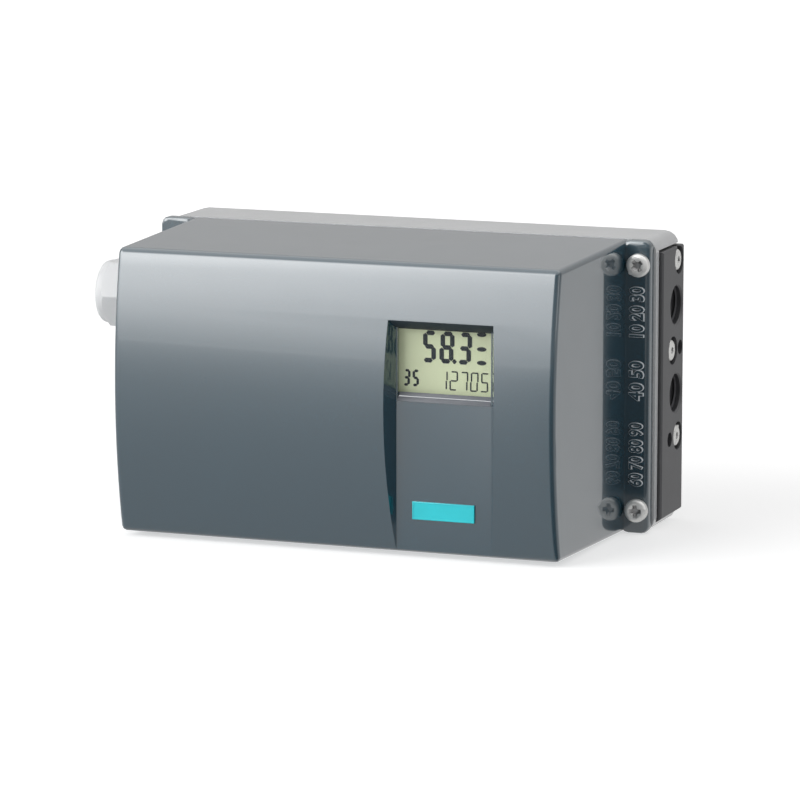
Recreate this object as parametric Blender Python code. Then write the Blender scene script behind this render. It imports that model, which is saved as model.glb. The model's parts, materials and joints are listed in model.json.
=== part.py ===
"""An electropneumatic valve positioner, modelled as the pieces it comes apart into.

Metres, +Z up. The display looks along -Y and the air ports along +X. The origin lies in the
plane of the rear mounting face, in the middle of its four bracket holes.
"""

from math import cos, pi, radians, sin, sqrt, tan

import bmesh
import bpy
from mathutils import Vector

MM = 0.001

# Fits that touching pieces share
GAP = 0.3 * MM
OVERSHOOT = 2 * MM

# Base housing, a tray that is open to the front
HEIGHT = 95 * MM
BASE_WIDTH = 168.8 * MM
BASE_DEPTH = 25.7 * MM
BASE_WALL = 3.6 * MM
BASE_FLOOR = 3.2 * MM
BASE_CORNER = 4.5 * MM
BASE_REAR_EDGE = 2.5 * MM

# Front cover, a deep shell with a bulged front and a screw flange on each side
COVER_DEPTH = 60.9 * MM
COVER_STEP = 8.8 * MM
COVER_WIDTH = BASE_WIDTH - 2 * COVER_STEP
COVER_HEIGHT = HEIGHT - GAP
COVER_WALL = 3 * MM
COVER_BULGE = 5.2 * MM
COVER_EDGE = 1.8 * MM
COVER_DRAFT = radians(1.3)
FLANGE_THICKNESS = 3.7 * MM
FLANGE_SHORT = 0.8 * MM
FLANGE_OVER = 1.3 * MM
FLANGE_CORNER = 2.5 * MM
FLANGE_BEVEL = 1.1 * MM

# Display pocket in the cover's front, with sloping sides, and the window in its floor
POCKET_FROM_RIGHT = 39.5 * MM
POCKET_CENTRE = COVER_WIDTH / 2 - POCKET_FROM_RIGHT
POCKET_WIDTH = 31.6 * MM
POCKET_TOP = 27.4 * MM
POCKET_SLOPE = 0.47
POCKET_TOP_SLOPE = 0.18
WINDOW_WIDTH = 31 * MM
WINDOW_TOP = 25.4 * MM
WINDOW_BOTTOM = 4.9 * MM
WINDOW_LEDGE = 2.5 * MM
WINDOW_LIP = 1.4 * MM
PANE_THICKNESS = 1.3 * MM
PANE_MARGIN = 2 * MM
PAD_MARGIN = 3.2 * MM

# Cover screws, captive pan heads
COVER_SCREW_INSET = 4.5 * MM
COVER_SCREW_RISE = 7.8 * MM
COVER_SCREW_X = BASE_WIDTH / 2 - COVER_SCREW_INSET
COVER_SCREW_Z = HEIGHT / 2 - COVER_SCREW_RISE
COVER_SCREW_SHANK = 1.5 * MM
COVER_SCREW_LENGTH = 6.7 * MM
COVER_SCREW_HEAD = 3.95 * MM
COVER_SCREW_HEAD_HEIGHT = 2.4 * MM
SCREW_BOSS = 4.2 * MM

# Seal that lies in a groove round the base's rim
SEAL_WIDTH = 1 * MM
SEAL_INSET = 1.5 * MM
SEAL_DEPTH = 1.4 * MM
SEAL_STOP = 10.4 * MM

# Connection block, let into the base's right side
BLOCK_PROUD = 1.3 * MM
BLOCK_SETBACK = 3.4 * MM
BLOCK_THICKNESS = 23.1 * MM
BLOCK_BELOW = 3.5 * MM
BLOCK_ABOVE = 4.5 * MM
BLOCK_EDGE = 0.5 * MM
POCKET_GAP = 0.7 * MM
GASKET_THICKNESS = 1 * MM
DIVIDER_WALL = 3.4 * MM
PORT_RADIUS = 6.2 * MM
PORT_MOUTH = 6.7 * MM
PORT_LENGTH = 13 * MM
PORT_CORE = 4 * MM
PORT_CORE_LENGTH = 5 * MM
PORT_BACK = 7.8 * MM
PORT_PITCH = 28.8 * MM
BLOCK_SCREW_BACKS = (5.3 * MM, 11.2 * MM, 5.3 * MM)
BLOCK_SCREW_INSET = 4.5 * MM
BLOCK_SCREW_HEAD = 3.7 * MM
BLOCK_SCREW_HEAD_HEIGHT = 2.6 * MM
BLOCK_SCREW_SHANK = 2 * MM
BLOCK_SCREW_SINK = 3.1 * MM
BLOCK_SCREW_LENGTH = 27.3 * MM
RESTRICTOR_BACKS = (3.6 * MM, 13.9 * MM)
RESTRICTOR_RADIUS = 2.1 * MM
RESTRICTOR_LENGTH = 7 * MM
RESTRICTOR_SINK = 3.2 * MM

# Rear bracket holes, M8 in bosses
BRACKET_PITCH_X = 60 * MM
BRACKET_PITCH_Z = 58 * MM
BRACKET_RADIUS = 3.5 * MM
BRACKET_LENGTH = 12 * MM
BRACKET_BOSS = 8 * MM

# Cable entries in the base's left side, M20
ENTRY_RIM = 3.05 * MM
ENTRY_SHIFT = 0.55 * MM
GLAND_HEIGHT = 19 * MM
PLUG_HEIGHT = -19 * MM
ENTRY_THREAD = 8.6 * MM
GLAND_RIM = 2.2 * MM
GLAND_FLANGE = 6 * MM
GLAND_WALL = 3.4 * MM
GLAND_STEP = 1.8 * MM
GLAND_COLLAR_LENGTH = 9 * MM
GLAND_WASHER = 1.2 * MM
NUT_STEP = 1 * MM
NUT_LENGTH = 20 * MM
NUT_DOME = 4 * MM
NUT_RIM = 2 * MM
NUT_LIP = 2.4 * MM
PLUG_HEAD_LENGTH = 2.6 * MM

# Exhaust silencer in the underside
SILENCER_X = 12 * MM
SILENCER_RADIUS = 5.6 * MM
SILENCER_LENGTH = 7 * MM

# Feedback shaft, its gear, clutch and wheel, all on one axis
SHAFT_X = -22 * MM
SHAFT_RADIUS = 4 * MM
SHAFT_STICKOUT = 14.5 * MM
SHAFT_FLAT = 0.8 * MM
SHAFT_FLAT_LENGTH = 10 * MM
SHAFT_BOSS = 10.5 * MM
SHAFT_BOSS_HEIGHT = 14 * MM
BUSH_WALL = 2.4 * MM
BUSH_FLANGE = 1.8 * MM
GEAR_MODULE = 1 * MM
GEAR_TEETH = 36
PINION_TEETH = 12
TOOTH_PLAY = 0.3 * MM
GEAR_WIDTH = 4.5 * MM
GEAR_HUB = 8 * MM
GEAR_HUB_LENGTH = 10 * MM
SPRING_RADIUS = 7.4 * MM
SPRING_HEIGHT = 2.4 * MM
SPRING_SHEET = 0.6 * MM
WHEEL_RADIUS = 17 * MM
WHEEL_WIDTH = 7.5 * MM
WHEEL_GROOVES = 20
CIRCLIP_RADIUS = 6.2 * MM
CIRCLIP_WIDTH = 1.2 * MM

# Potentiometer beside the shaft, driven by the pinion
POT_RADIUS = 9.5 * MM
POT_SHAFT = 1.6 * MM
RIBBON_WIDTH = 7 * MM
RIBBON_SHEET = 0.6 * MM
RIBBON_REACH = 3 * MM

# Ratio selector, a saddle on a rail of the base
SELECTOR_X = -48 * MM
RAIL_WIDTH = 5 * MM
RAIL_LENGTH = 22 * MM
RAIL_HEIGHT = 16 * MM
SELECTOR_LENGTH = 10 * MM
SELECTOR_WALL = 2 * MM
SELECTOR_LEGS = 5 * MM
SELECTOR_TRAVEL = 6 * MM

# Pneumatic valve block with its two pilot valves
VALVE_LEFT = 19.6 * MM
VALVE_WIDTH = 29.4 * MM
VALVE_HEIGHT = 37 * MM
VALVE_DEPTH = 40 * MM
VALVE_EDGE = 1 * MM
PILOT_WIDTH = 12 * MM
PILOT_HEIGHT = 24 * MM
PILOT_DEPTH = 14 * MM
PILOT_STEP = 4 * MM
VALVE_SCREW_HEAD = 2.2 * MM
VALVE_SCREW_SHANK = 1.2 * MM
VALVE_SCREW_LENGTH = 12 * MM
VALVE_SCREW_EDGE = 3 * MM
PURGE_RADIUS = 4.6 * MM
PURGE_HEIGHT = 3 * MM
PURGE_DEPTH = 16 * MM

# Electronics behind the cover: pillars, board, module cover, display and keys
MODULE_LEFT = -10 * MM
MODULE_ROOM_RIGHT = 8.6 * MM
MODULE_ROOM = 5.85 * MM
MODULE_DEPTH = 13 * MM
MODULE_WALL = 1.8 * MM
MODULE_SETBACK = 6.6 * MM
MODULE_CORNER = 3 * MM
PILLAR_RADIUS = 3.2 * MM
PILLAR_LEFT = -4 * MM
PILLAR_INSET_RIGHT = 21 * MM
PILLAR_INSET = 6 * MM
BOARD_THICKNESS = 1.6 * MM
MODULE_SCREW_HEAD = 2.8 * MM
MODULE_SCREW_SHANK = 1.4 * MM
MODULE_SCREW_GRIP = 6 * MM
MODULE_COLUMN = 3.6 * MM
DISPLAY_MARGIN = 2.6 * MM
DISPLAY_THICKNESS = 1.8 * MM
DISPLAY_PLAY = 0.4 * MM
FRAME_WALL = 2.4 * MM
FRAME_FLOOR = 1.6 * MM
KEY_WIDTH = 9 * MM
KEY_HEIGHT = 5.5 * MM
KEY_PITCH = 11.6 * MM
KEY_Z = -10.5 * MM
KEY_PROUD = 1.8 * MM
KEY_TRAVEL = 1.2 * MM
KEY_FLANGE = 1 * MM
KEY_STEM = 1.5 * MM

# Terminal board over the cable entries
TERMINAL_ROOM_LEFT = 14.4 * MM
TERMINAL_WIDTH = 23 * MM
TERMINAL_ROOM = 8 * MM
TERMINAL_DEPTH = 34 * MM
TERMINAL_PILLAR_INSET = 3.5 * MM
TERMINAL_BLOCK_WIDTH = 11 * MM
TERMINAL_BLOCK_HEIGHT = 11 * MM
TERMINAL_POLES = 6
TERMINAL_PITCH = 5 * MM
TERMINAL_HOLE = 3.2 * MM

# Planes and places that follow from the sizes above
BASE_FRONT = -BASE_DEPTH
FLOOR_FRONT = -BASE_FLOOR
FLANGE_BACK = BASE_FRONT - GAP
FLANGE_FRONT = FLANGE_BACK - FLANGE_THICKNESS
COVER_FRONT = FLANGE_FRONT - COVER_DEPTH
PANE_FRONT = COVER_FRONT + WINDOW_LIP + GAP
PANE_BACK = PANE_FRONT + PANE_THICKNESS
DISPLAY_FRONT = PANE_BACK + DISPLAY_PLAY
MODULE_FRONT = COVER_FRONT + MODULE_SETBACK
MODULE_BACK = MODULE_FRONT + MODULE_DEPTH
BOARD_BACK = MODULE_BACK - GAP
BOARD_FRONT = BOARD_BACK - BOARD_THICKNESS
FLANGE_RIGHT = BASE_WIDTH / 2 - FLANGE_SHORT
FLANGE_LEFT = BASE_WIDTH / 2 + FLANGE_OVER
SEAL_RIGHT = BASE_WIDTH / 2 - SEAL_STOP
BLOCK_FACE = BASE_WIDTH / 2 + BLOCK_PROUD
BLOCK_DEPTH = BASE_DEPTH - BLOCK_SETBACK
BLOCK_BOTTOM = BLOCK_BELOW - HEIGHT / 2
BLOCK_TOP = HEIGHT / 2 - BLOCK_ABOVE
BLOCK_BACK_X = BLOCK_FACE - BLOCK_THICKNESS
GASKET_X = BLOCK_BACK_X - GAP - GASKET_THICKNESS
POCKET_X = GASKET_X - GAP
CAVITY_RIGHT = POCKET_X - DIVIDER_WALL
CAVITY_LEFT = BASE_WALL - BASE_WIDTH / 2
CAVITY_HALF = HEIGHT / 2 - BASE_WALL
HOLE_STEP = PORT_PITCH / 2
HOLE_TOP = BLOCK_TOP - BLOCK_SCREW_INSET
PORT_HEIGHTS = (HOLE_TOP - HOLE_STEP, HOLE_TOP - 3 * HOLE_STEP)
BLOCK_SCREW_HEIGHTS = (HOLE_TOP, HOLE_TOP - 2 * HOLE_STEP, HOLE_TOP - 4 * HOLE_STEP)
RESTRICTOR_HEIGHTS = BLOCK_SCREW_HEIGHTS[1:]
ENTRY_BACK = BASE_DEPTH / 2 + ENTRY_SHIFT
ENTRY_RADIUS = BASE_DEPTH / 2 - ENTRY_RIM
GLAND_FLATS = 2 * (ENTRY_RADIUS + GLAND_RIM)
GLAND_COLLAR = ENTRY_RADIUS - GLAND_STEP
GLAND_BORE = GLAND_COLLAR - GLAND_WALL
NUT_FLATS = GLAND_FLATS - NUT_STEP
NUT_MOUTH = GLAND_COLLAR - NUT_RIM
PLUG_HEAD = ENTRY_RADIUS + GLAND_RIM
GEAR_RADIUS = GEAR_MODULE * GEAR_TEETH / 2
PINION_RADIUS = GEAR_MODULE * PINION_TEETH / 2
PINION_X = SHAFT_X + GEAR_RADIUS + PINION_RADIUS + TOOTH_PLAY
BUSH_FRONT = -SHAFT_BOSS_HEIGHT - GAP - BUSH_FLANGE
GEAR_BACK = BUSH_FRONT - GAP
GEAR_FRONT = GEAR_BACK - GEAR_WIDTH
HUB_FRONT = GEAR_BACK - GEAR_HUB_LENGTH
SPRING_FRONT = HUB_FRONT - GAP - SPRING_HEIGHT
WHEEL_BACK = SPRING_FRONT - GAP
WHEEL_FRONT = WHEEL_BACK - WHEEL_WIDTH
CIRCLIP_BACK = WHEEL_FRONT - GAP
SHAFT_FRONT = CIRCLIP_BACK - CIRCLIP_WIDTH - 3 * MM
VALVE_BACK = FLOOR_FRONT - GAP - GASKET_THICKNESS - GAP
VALVE_FRONT = VALVE_BACK - VALVE_DEPTH
MODULE_RIGHT = COVER_WIDTH / 2 - MODULE_ROOM_RIGHT
MODULE_HEIGHT = COVER_HEIGHT - 2 * MODULE_ROOM
PILLAR_RIGHT = MODULE_RIGHT - PILLAR_INSET_RIGHT
PILLAR_Z = MODULE_HEIGHT / 2 - PILLAR_INSET
TERMINAL_BACK = -TERMINAL_DEPTH
TERMINAL_LEFT = TERMINAL_ROOM_LEFT - BASE_WIDTH / 2
TERMINAL_HEIGHT = HEIGHT - 2 * TERMINAL_ROOM
TERMINAL_PILLAR_Z = TERMINAL_HEIGHT / 2 - TERMINAL_PILLAR_INSET
WALL_LEFT = -BASE_WIDTH / 2


# Drawing helpers

AXES = {"X": (1, 2, 0), "Y": (0, 2, 1), "Z": (0, 1, 2)}
SHARP = radians(30)


def spot(axis, across, up, along):
    """A point given by its two places across an axis and its place along it."""
    place = [0.0, 0.0, 0.0]
    first, second, third = AXES[axis]
    place[first] = across
    place[second] = up
    place[third] = along
    return Vector(place)


def finish(name, bm):
    """Turn a bmesh into an object of the scene, closed and with its faces outwards."""
    bmesh.ops.remove_doubles(bm, verts=bm.verts, dist=0.001 * MM)
    bmesh.ops.recalc_face_normals(bm, faces=bm.faces)
    mesh = bpy.data.meshes.new(name)
    bm.to_mesh(mesh)
    bm.free()
    obj = bpy.data.objects.new(name, mesh)
    bpy.context.scene.collection.objects.link(obj)
    return obj


def lofted(name, loops):
    """Join loops of points with equal counts into one closed solid."""
    bm = bmesh.new()
    rings = [[bm.verts.new(point) for point in loop] for loop in loops]
    for near, far in zip(rings, rings[1:]):
        for index in range(len(near)):
            after = (index + 1) % len(near)
            bm.faces.new((near[index], near[after], far[after], far[index]))
    bm.faces.new(rings[0])
    bm.faces.new(rings[-1])
    return finish(name, bm)


def extruded(name, axis, outline, low, high):
    """Extrude an outline, drawn across the axis, from one place along it to another."""
    ends = sorted((low, high))
    return lofted(name, [[spot(axis, u, v, end) for u, v in outline] for end in ends])


def block(name, low, high):
    """A box between two opposite corners."""
    outline = rectangle(low[0], high[0], low[2], high[2])
    return extruded(name, "Y", outline, low[1], high[1])


def turned(name, axis, centre, profile, steps=24):
    """Revolve a profile of (radius, place along the axis); it closes on itself or on the axis."""
    bm = bmesh.new()
    points = []
    for radius, along in profile:
        points.append(bm.verts.new(spot(axis, centre[0] + radius, centre[1], along)))
    open_ended = profile[0][0] == 0 and profile[-1][0] == 0
    for index in range(len(points) - 1):
        bm.edges.new((points[index], points[index + 1]))
    if not open_ended:
        bm.edges.new((points[-1], points[0]))
    bmesh.ops.spin(
        bm,
        geom=bm.verts[:] + bm.edges[:],
        cent=spot(axis, centre[0], centre[1], 0),
        axis=spot(axis, 0, 0, 1),
        angle=2 * pi,
        steps=steps,
        use_merge=True,
    )
    return finish(name, bm)


def cylinder(name, axis, centre, radius, low, high, steps=24):
    return extruded(name, axis, circle(centre[0], centre[1], radius, steps), low, high)


def rectangle(left, right, bottom, top):
    return [(left, bottom), (right, bottom), (right, top), (left, top)]


def circle(u, v, radius, steps=24):
    turns = [2 * pi * step / steps for step in range(steps)]
    return [(u + radius * cos(turn), v + radius * sin(turn)) for turn in turns]


def hexagon(u, v, flats, turn=0.0):
    radius = flats / sqrt(3)
    turns = [turn + pi * step / 3 for step in range(6)]
    return [(u + radius * cos(angle), v + radius * sin(angle)) for angle in turns]


def rounded(left, right, bottom, top, radius, steps=4):
    """A rectangle with round corners, listed anticlockwise."""
    centres = (
        (right - radius, top - radius),
        (left + radius, top - radius),
        (left + radius, bottom + radius),
        (right - radius, bottom + radius),
    )
    outline = []
    for corner, (u, v) in enumerate(centres):
        for step in range(steps + 1):
            turn = pi / 2 * (corner + step / steps)
            outline.append((u + radius * cos(turn), v + radius * sin(turn)))
    return outline


def cross(u, v, arm, half):
    """The plus-shaped outline of a screwdriver recess."""
    corner = ((arm, half), (half, half), (half, arm))
    outline = []
    for quarter in range(4):
        turn = pi / 2 * quarter
        for x, z in corner:
            across = x * cos(turn) - z * sin(turn)
            up = x * sin(turn) + z * cos(turn)
            outline.append((u + across, v + up))
    return outline


def soften(obj, width, segments, wanted):
    """Bevel the sharp edges whose middle passes the test."""
    bm = bmesh.new()
    bm.from_mesh(obj.data)
    edges = []
    for edge in bm.edges:
        middle = (edge.verts[0].co + edge.verts[1].co) / 2
        if edge.calc_face_angle() > SHARP and wanted(middle):
            edges.append(edge)
    bmesh.ops.bevel(
        bm,
        geom=edges,
        offset=width,
        segments=segments,
        profile=0.5,
        affect="EDGES",
        clamp_overlap=True,
    )
    bm.to_mesh(obj.data)
    bm.free()
    return obj


def combine(target, other, operation):
    """Add a Boolean with a helper shape, which stays in the scene as a wire guide."""
    modifier = target.modifiers.new(other.name, "BOOLEAN")
    modifier.operation = operation
    modifier.solver = "EXACT"
    modifier.object = other
    other.hide_render = True
    other.display_type = "WIRE"
    return target


def cut(target, *cutters):
    for cutter in cutters:
        combine(target, cutter, "DIFFERENCE")
    return target


def join(target, *others):
    for other in others:
        combine(target, other, "UNION")
    return target


def smooth(obj, angle=35):
    obj.data.shade_smooth()
    obj.data.set_sharp_from_angle(angle=radians(angle))
    return obj


def paint(obj, colour, roughness=0.5, metallic=0.0, alpha=1.0):
    """Give a piece a material of its own."""
    material = bpy.data.materials.new(obj.name)
    material.use_nodes = True
    shader = material.node_tree.nodes["Principled BSDF"]
    shader.inputs["Base Color"].default_value = (*colour, 1)
    shader.inputs["Roughness"].default_value = roughness
    shader.inputs["Metallic"].default_value = metallic
    shader.inputs["Alpha"].default_value = alpha
    obj.data.materials.append(material)
    return obj


def pivot(name, place, *pieces):
    """Hang pieces that move together on an empty that stands on their joint's axis."""
    empty = bpy.data.objects.new(name, None)
    empty.location = place
    empty.empty_display_size = 5 * MM
    bpy.context.scene.collection.objects.link(empty)
    bpy.context.view_layer.update()
    for piece in pieces:
        piece.parent = empty
        piece.matrix_parent_inverse = empty.matrix_world.inverted()
    return empty


# Colours

SLATE = (0.115, 0.15, 0.175)
CHARCOAL = (0.045, 0.05, 0.055)
BLACK = (0.02, 0.02, 0.022)
ZINC = (0.72, 0.72, 0.70)
STEEL = (0.5, 0.5, 0.5)
WHITE = (0.8, 0.81, 0.8)
RUBBER = (0.03, 0.03, 0.03)
YELLOW = (0.75, 0.5, 0.04)
GREEN = (0.03, 0.16, 0.07)
BRONZE = (0.5, 0.34, 0.15)
GREY = (0.35, 0.36, 0.37)
GLASS_GREEN = (0.5, 0.55, 0.36)
BLUE = (0.05, 0.16, 0.4)


# Base housing

def base_body():
    outline = rounded(
        -BASE_WIDTH / 2, BASE_WIDTH / 2, -HEIGHT / 2, HEIGHT / 2, BASE_CORNER
    )
    body = extruded("base_housing", "Y", outline, BASE_FRONT, 0)
    soften(body, BASE_REAR_EDGE, 3, lambda middle: middle.y > -GAP)
    inner = rounded(CAVITY_LEFT, CAVITY_RIGHT, -CAVITY_HALF, CAVITY_HALF, BASE_FLOOR)
    tray = extruded("cut_base_tray", "Y", inner, BASE_FRONT - OVERSHOOT, FLOOR_FRONT)
    pocket = block(
        "cut_base_pocket",
        (POCKET_X, -BLOCK_DEPTH - POCKET_GAP, BLOCK_BOTTOM - POCKET_GAP),
        (BASE_WIDTH, OVERSHOOT, BLOCK_TOP + POCKET_GAP),
    )
    return cut(body, tray, pocket)


def base_bosses(body):
    root = FLOOR_FRONT + BASE_FLOOR / 2
    for index, (x, z) in enumerate(bracket_places()):
        top = -BRACKET_LENGTH - BASE_FLOOR / 2
        join(body, cylinder(f"add_bracket_{index}", "Y", (x, z), BRACKET_BOSS, top, root))
    axis = (SHAFT_X, 0)
    join(body, cylinder("add_shaft", "Y", axis, SHAFT_BOSS, -SHAFT_BOSS_HEIGHT, root))
    for index, z in enumerate((-COVER_SCREW_Z, COVER_SCREW_Z)):
        left = (-COVER_SCREW_X, z)
        front = BASE_FRONT + GAP
        join(body, cylinder(f"add_left_{index}", "Y", left, SCREW_BOSS, front, root, 16))
        right = (COVER_SCREW_X, z)
        back = -BLOCK_DEPTH - POCKET_GAP + COVER_SCREW_LENGTH
        join(body, cylinder(f"add_right_{index}", "Y", right, SCREW_BOSS, front, back, 16))
    for index, (back, z) in enumerate(zip(BLOCK_SCREW_BACKS, BLOCK_SCREW_HEIGHTS)):
        radius = 2.1 * BLOCK_SCREW_SHANK
        low = block_screw_tip() - 2 * GAP - BLOCK_SCREW_SHANK
        join(body, cylinder(f"add_block_{index}", "X", (-back, z), radius, low, POCKET_X - GAP, 16))
    half = RAIL_LENGTH / 2
    rail = block(
        "add_rail",
        (SELECTOR_X - RAIL_WIDTH / 2, FLOOR_FRONT - RAIL_HEIGHT, -half),
        (SELECTOR_X + RAIL_WIDTH / 2, root, half),
    )
    return join(body, rail)


def base_holes(body):
    for index, (x, z) in enumerate(bracket_places()):
        hole = cylinder(
            f"cut_bracket_{index}", "Y", (x, z), BRACKET_RADIUS, -BRACKET_LENGTH, OVERSHOOT, 16
        )
        cut(body, hole)
    bore = SHAFT_RADIUS + GAP + BUSH_WALL + GAP
    front = -SHAFT_BOSS_HEIGHT - OVERSHOOT
    cut(body, cylinder("cut_shaft", "Y", (SHAFT_X, 0), bore, front, OVERSHOOT))
    radius = ENTRY_RADIUS + GAP
    for index, z in enumerate((GLAND_HEIGHT, PLUG_HEIGHT)):
        low = WALL_LEFT - OVERSHOOT
        high = CAVITY_LEFT + OVERSHOOT
        cut(body, cylinder(f"cut_entry_{index}", "X", (-ENTRY_BACK, z), radius, low, high))
    centre = (SILENCER_X, -BASE_DEPTH / 2)
    low = -HEIGHT / 2 - OVERSHOOT
    high = -CAVITY_HALF + OVERSHOOT
    cut(body, cylinder("cut_silencer", "Z", centre, SILENCER_RADIUS + GAP, low, high))
    for index, (x, z) in enumerate(cover_screw_places()):
        back = FLANGE_BACK + COVER_SCREW_LENGTH
        radius = COVER_SCREW_SHANK + GAP
        hole = cylinder(
            f"cut_screw_{index}", "Y", (x, z), radius, BASE_FRONT - OVERSHOOT, back, 12
        )
        cut(body, hole)
    for index, (back, z) in enumerate(zip(BLOCK_SCREW_BACKS, BLOCK_SCREW_HEIGHTS)):
        low = block_screw_tip() - GAP
        radius = BLOCK_SCREW_SHANK + GAP
        high = POCKET_X + OVERSHOOT
        cut(body, cylinder(f"cut_block_{index}", "X", (-back, z), radius, low, high, 12))
    return body


def base_groove(body):
    """A groove round the rim, open to the front, that the seal lies in."""
    depth = SEAL_DEPTH + GAP
    margin = SEAL_WIDTH / 2 + GAP
    return cut(body, seal_ring("cut_groove", margin, BASE_FRONT + depth, BASE_FRONT - OVERSHOOT))


def base_housing():
    body = base_body()
    base_bosses(body)
    base_holes(body)
    base_groove(body)
    return paint(smooth(body), SLATE, 0.35)


def bracket_places():
    half_x = BRACKET_PITCH_X / 2
    half_z = BRACKET_PITCH_Z / 2
    return [(x, z) for x in (-half_x, half_x) for z in (-half_z, half_z)]


def cover_screw_places():
    heights = (COVER_SCREW_Z, -COVER_SCREW_Z)
    return [(x, z) for x in (COVER_SCREW_X, -COVER_SCREW_X) for z in heights]


def block_screw_tip():
    return BLOCK_FACE - BLOCK_SCREW_SINK - BLOCK_SCREW_LENGTH


def seal_ring(name, half, low, high):
    """A rectangular ring that follows the base's rim."""
    left = WALL_LEFT + SEAL_INSET
    top = HEIGHT / 2 - SEAL_INSET
    loops = []
    for margin, end in ((half, low), (half, high), (-half, high), (-half, low)):
        corner = BASE_CORNER - SEAL_INSET + margin
        outline = rounded(left - margin, SEAL_RIGHT + margin, -top - margin, top + margin, corner)
        loops.append([spot("Y", u, v, end) for u, v in outline])
    bm = bmesh.new()
    rings = [[bm.verts.new(point) for point in loop] for loop in loops]
    for near, far in zip(rings, rings[1:] + rings[:1]):
        for index in range(len(near)):
            after = (index + 1) % len(near)
            bm.faces.new((near[index], near[after], far[after], far[index]))
    return finish(name, bm)


def cover_seal():
    ring = seal_ring("cover_seal", SEAL_WIDTH / 2, BASE_FRONT, BASE_FRONT + SEAL_DEPTH)
    return paint(ring, RUBBER, 0.8)


# Front cover

def bulge_at(z, half):
    """How far the cylindrical front stands ahead of the plane of its corners."""
    radius = (half * half + COVER_BULGE * COVER_BULGE) / (2 * COVER_BULGE)
    return sqrt(radius * radius - z * z) - (radius - COVER_BULGE)


def cover_solid(name, inset, rows=16):
    """The cover's outer form, or with an inset the form of its hollow."""
    back = FLANGE_BACK + (OVERSHOOT if inset else 0)
    front = COVER_FRONT + inset
    lean = tan(COVER_DRAFT)
    half_front = COVER_HEIGHT / 2 - inset - lean * (FLANGE_BACK - front)
    half_back = COVER_HEIGHT / 2 - inset - lean * (FLANGE_BACK - back)
    loops = []
    for row in range(rows + 1):
        share = 2 * row / rows - 1
        z = share * half_front
        y = front - bulge_at(z, half_front)
        width = COVER_WIDTH / 2 - inset - lean * (FLANGE_BACK - y)
        width_back = COVER_WIDTH / 2 - inset - lean * (FLANGE_BACK - back)
        loops.append(
            [
                Vector((-width, y, z)),
                Vector((width, y, z)),
                Vector((width_back, back, share * half_back)),
                Vector((-width_back, back, share * half_back)),
            ]
        )
    solid = lofted(name, loops)
    if not inset:
        soften(solid, COVER_EDGE, 3, lambda middle: middle.y < FLANGE_FRONT)
    return solid


def sloped_pocket():
    """The display pocket: a flat floor, sloping sides and top, and no lower wall."""
    out = COVER_BULGE + OVERSHOOT
    below = -COVER_HEIGHT
    loops = []
    for ahead in (0, out):
        half = POCKET_WIDTH / 2 + POCKET_SLOPE * ahead
        top = POCKET_TOP + POCKET_TOP_SLOPE * ahead
        outline = rectangle(POCKET_CENTRE - half, POCKET_CENTRE + half, below, top)
        loops.append([spot("Y", u, v, COVER_FRONT - ahead) for u, v in outline])
    return lofted("cut_cover_pocket", loops)


def pocket_pad():
    """The thicker wall behind the pocket's floor, which the window pane is set into."""
    half = POCKET_WIDTH / 2 + PAD_MARGIN + POCKET_SLOPE * COVER_BULGE
    pad = block(
        "add_cover_pad",
        (POCKET_CENTRE - half, COVER_FRONT - COVER_BULGE, -COVER_HEIGHT / 2),
        (POCKET_CENTRE + half, PANE_BACK, POCKET_TOP + PAD_MARGIN),
    )
    return combine(pad, cover_solid("keep_pad_inside", COVER_WALL / 2), "INTERSECT")


def window_cut():
    """The window's opening, with its sloping lower ledge."""
    ahead = COVER_FRONT - OVERSHOOT
    lip = COVER_FRONT + WINDOW_LIP
    fall = WINDOW_LEDGE / WINDOW_LIP * OVERSHOOT
    outline = [
        (ahead, WINDOW_TOP),
        (ahead, WINDOW_BOTTOM - WINDOW_LEDGE - fall),
        (lip, WINDOW_BOTTOM),
        (PANE_BACK + OVERSHOOT, WINDOW_BOTTOM),
        (PANE_BACK + OVERSHOOT, WINDOW_TOP),
    ]
    half = WINDOW_WIDTH / 2
    return extruded("cut_window", "X", outline, POCKET_CENTRE - half, POCKET_CENTRE + half)


def pane_block(name, play, front, back):
    half = WINDOW_WIDTH / 2 + PANE_MARGIN + play
    return block(
        name,
        (POCKET_CENTRE - half, front, WINDOW_BOTTOM - PANE_MARGIN - play),
        (POCKET_CENTRE + half, back, WINDOW_TOP + PANE_MARGIN + play),
    )


def flange(name, inner, outer):
    """A full-height screw strip beside the cover, with bevelled front edges."""
    left, right = sorted((inner, outer))
    outline = rounded(left, right, -HEIGHT / 2, HEIGHT / 2, FLANGE_CORNER, 3)
    strip = extruded(name, "Y", outline, FLANGE_FRONT, FLANGE_BACK)
    return soften(strip, FLANGE_BEVEL, 2, lambda middle: middle.y < FLANGE_FRONT + GAP)


def front_cover():
    cover = cover_solid("front_cover", 0)
    cut(cover, cover_solid("cut_cover_hollow", COVER_WALL))
    join(cover, pocket_pad())
    cut(cover, sloped_pocket(), window_cut())
    cut(cover, pane_block("cut_rebate", GAP, PANE_FRONT - GAP, PANE_BACK + OVERSHOOT))
    inside = COVER_WIDTH / 2 - COVER_WALL / 2
    join(cover, flange("add_flange_right", inside, FLANGE_RIGHT))
    join(cover, flange("add_flange_left", -inside, -FLANGE_LEFT))
    for index, (x, z) in enumerate(cover_screw_places()):
        radius = COVER_SCREW_SHANK + GAP
        low = FLANGE_FRONT - OVERSHOOT
        high = FLANGE_BACK + OVERSHOOT
        cut(cover, cylinder(f"cut_flange_{index}", "Y", (x, z), radius, low, high, 12))
    return paint(smooth(cover, 20), SLATE, 0.3)


def display_window():
    pane = pane_block("display_window", 0, PANE_FRONT, PANE_BACK)
    return paint(pane, WHITE, 0.05, alpha=0.3)


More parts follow.
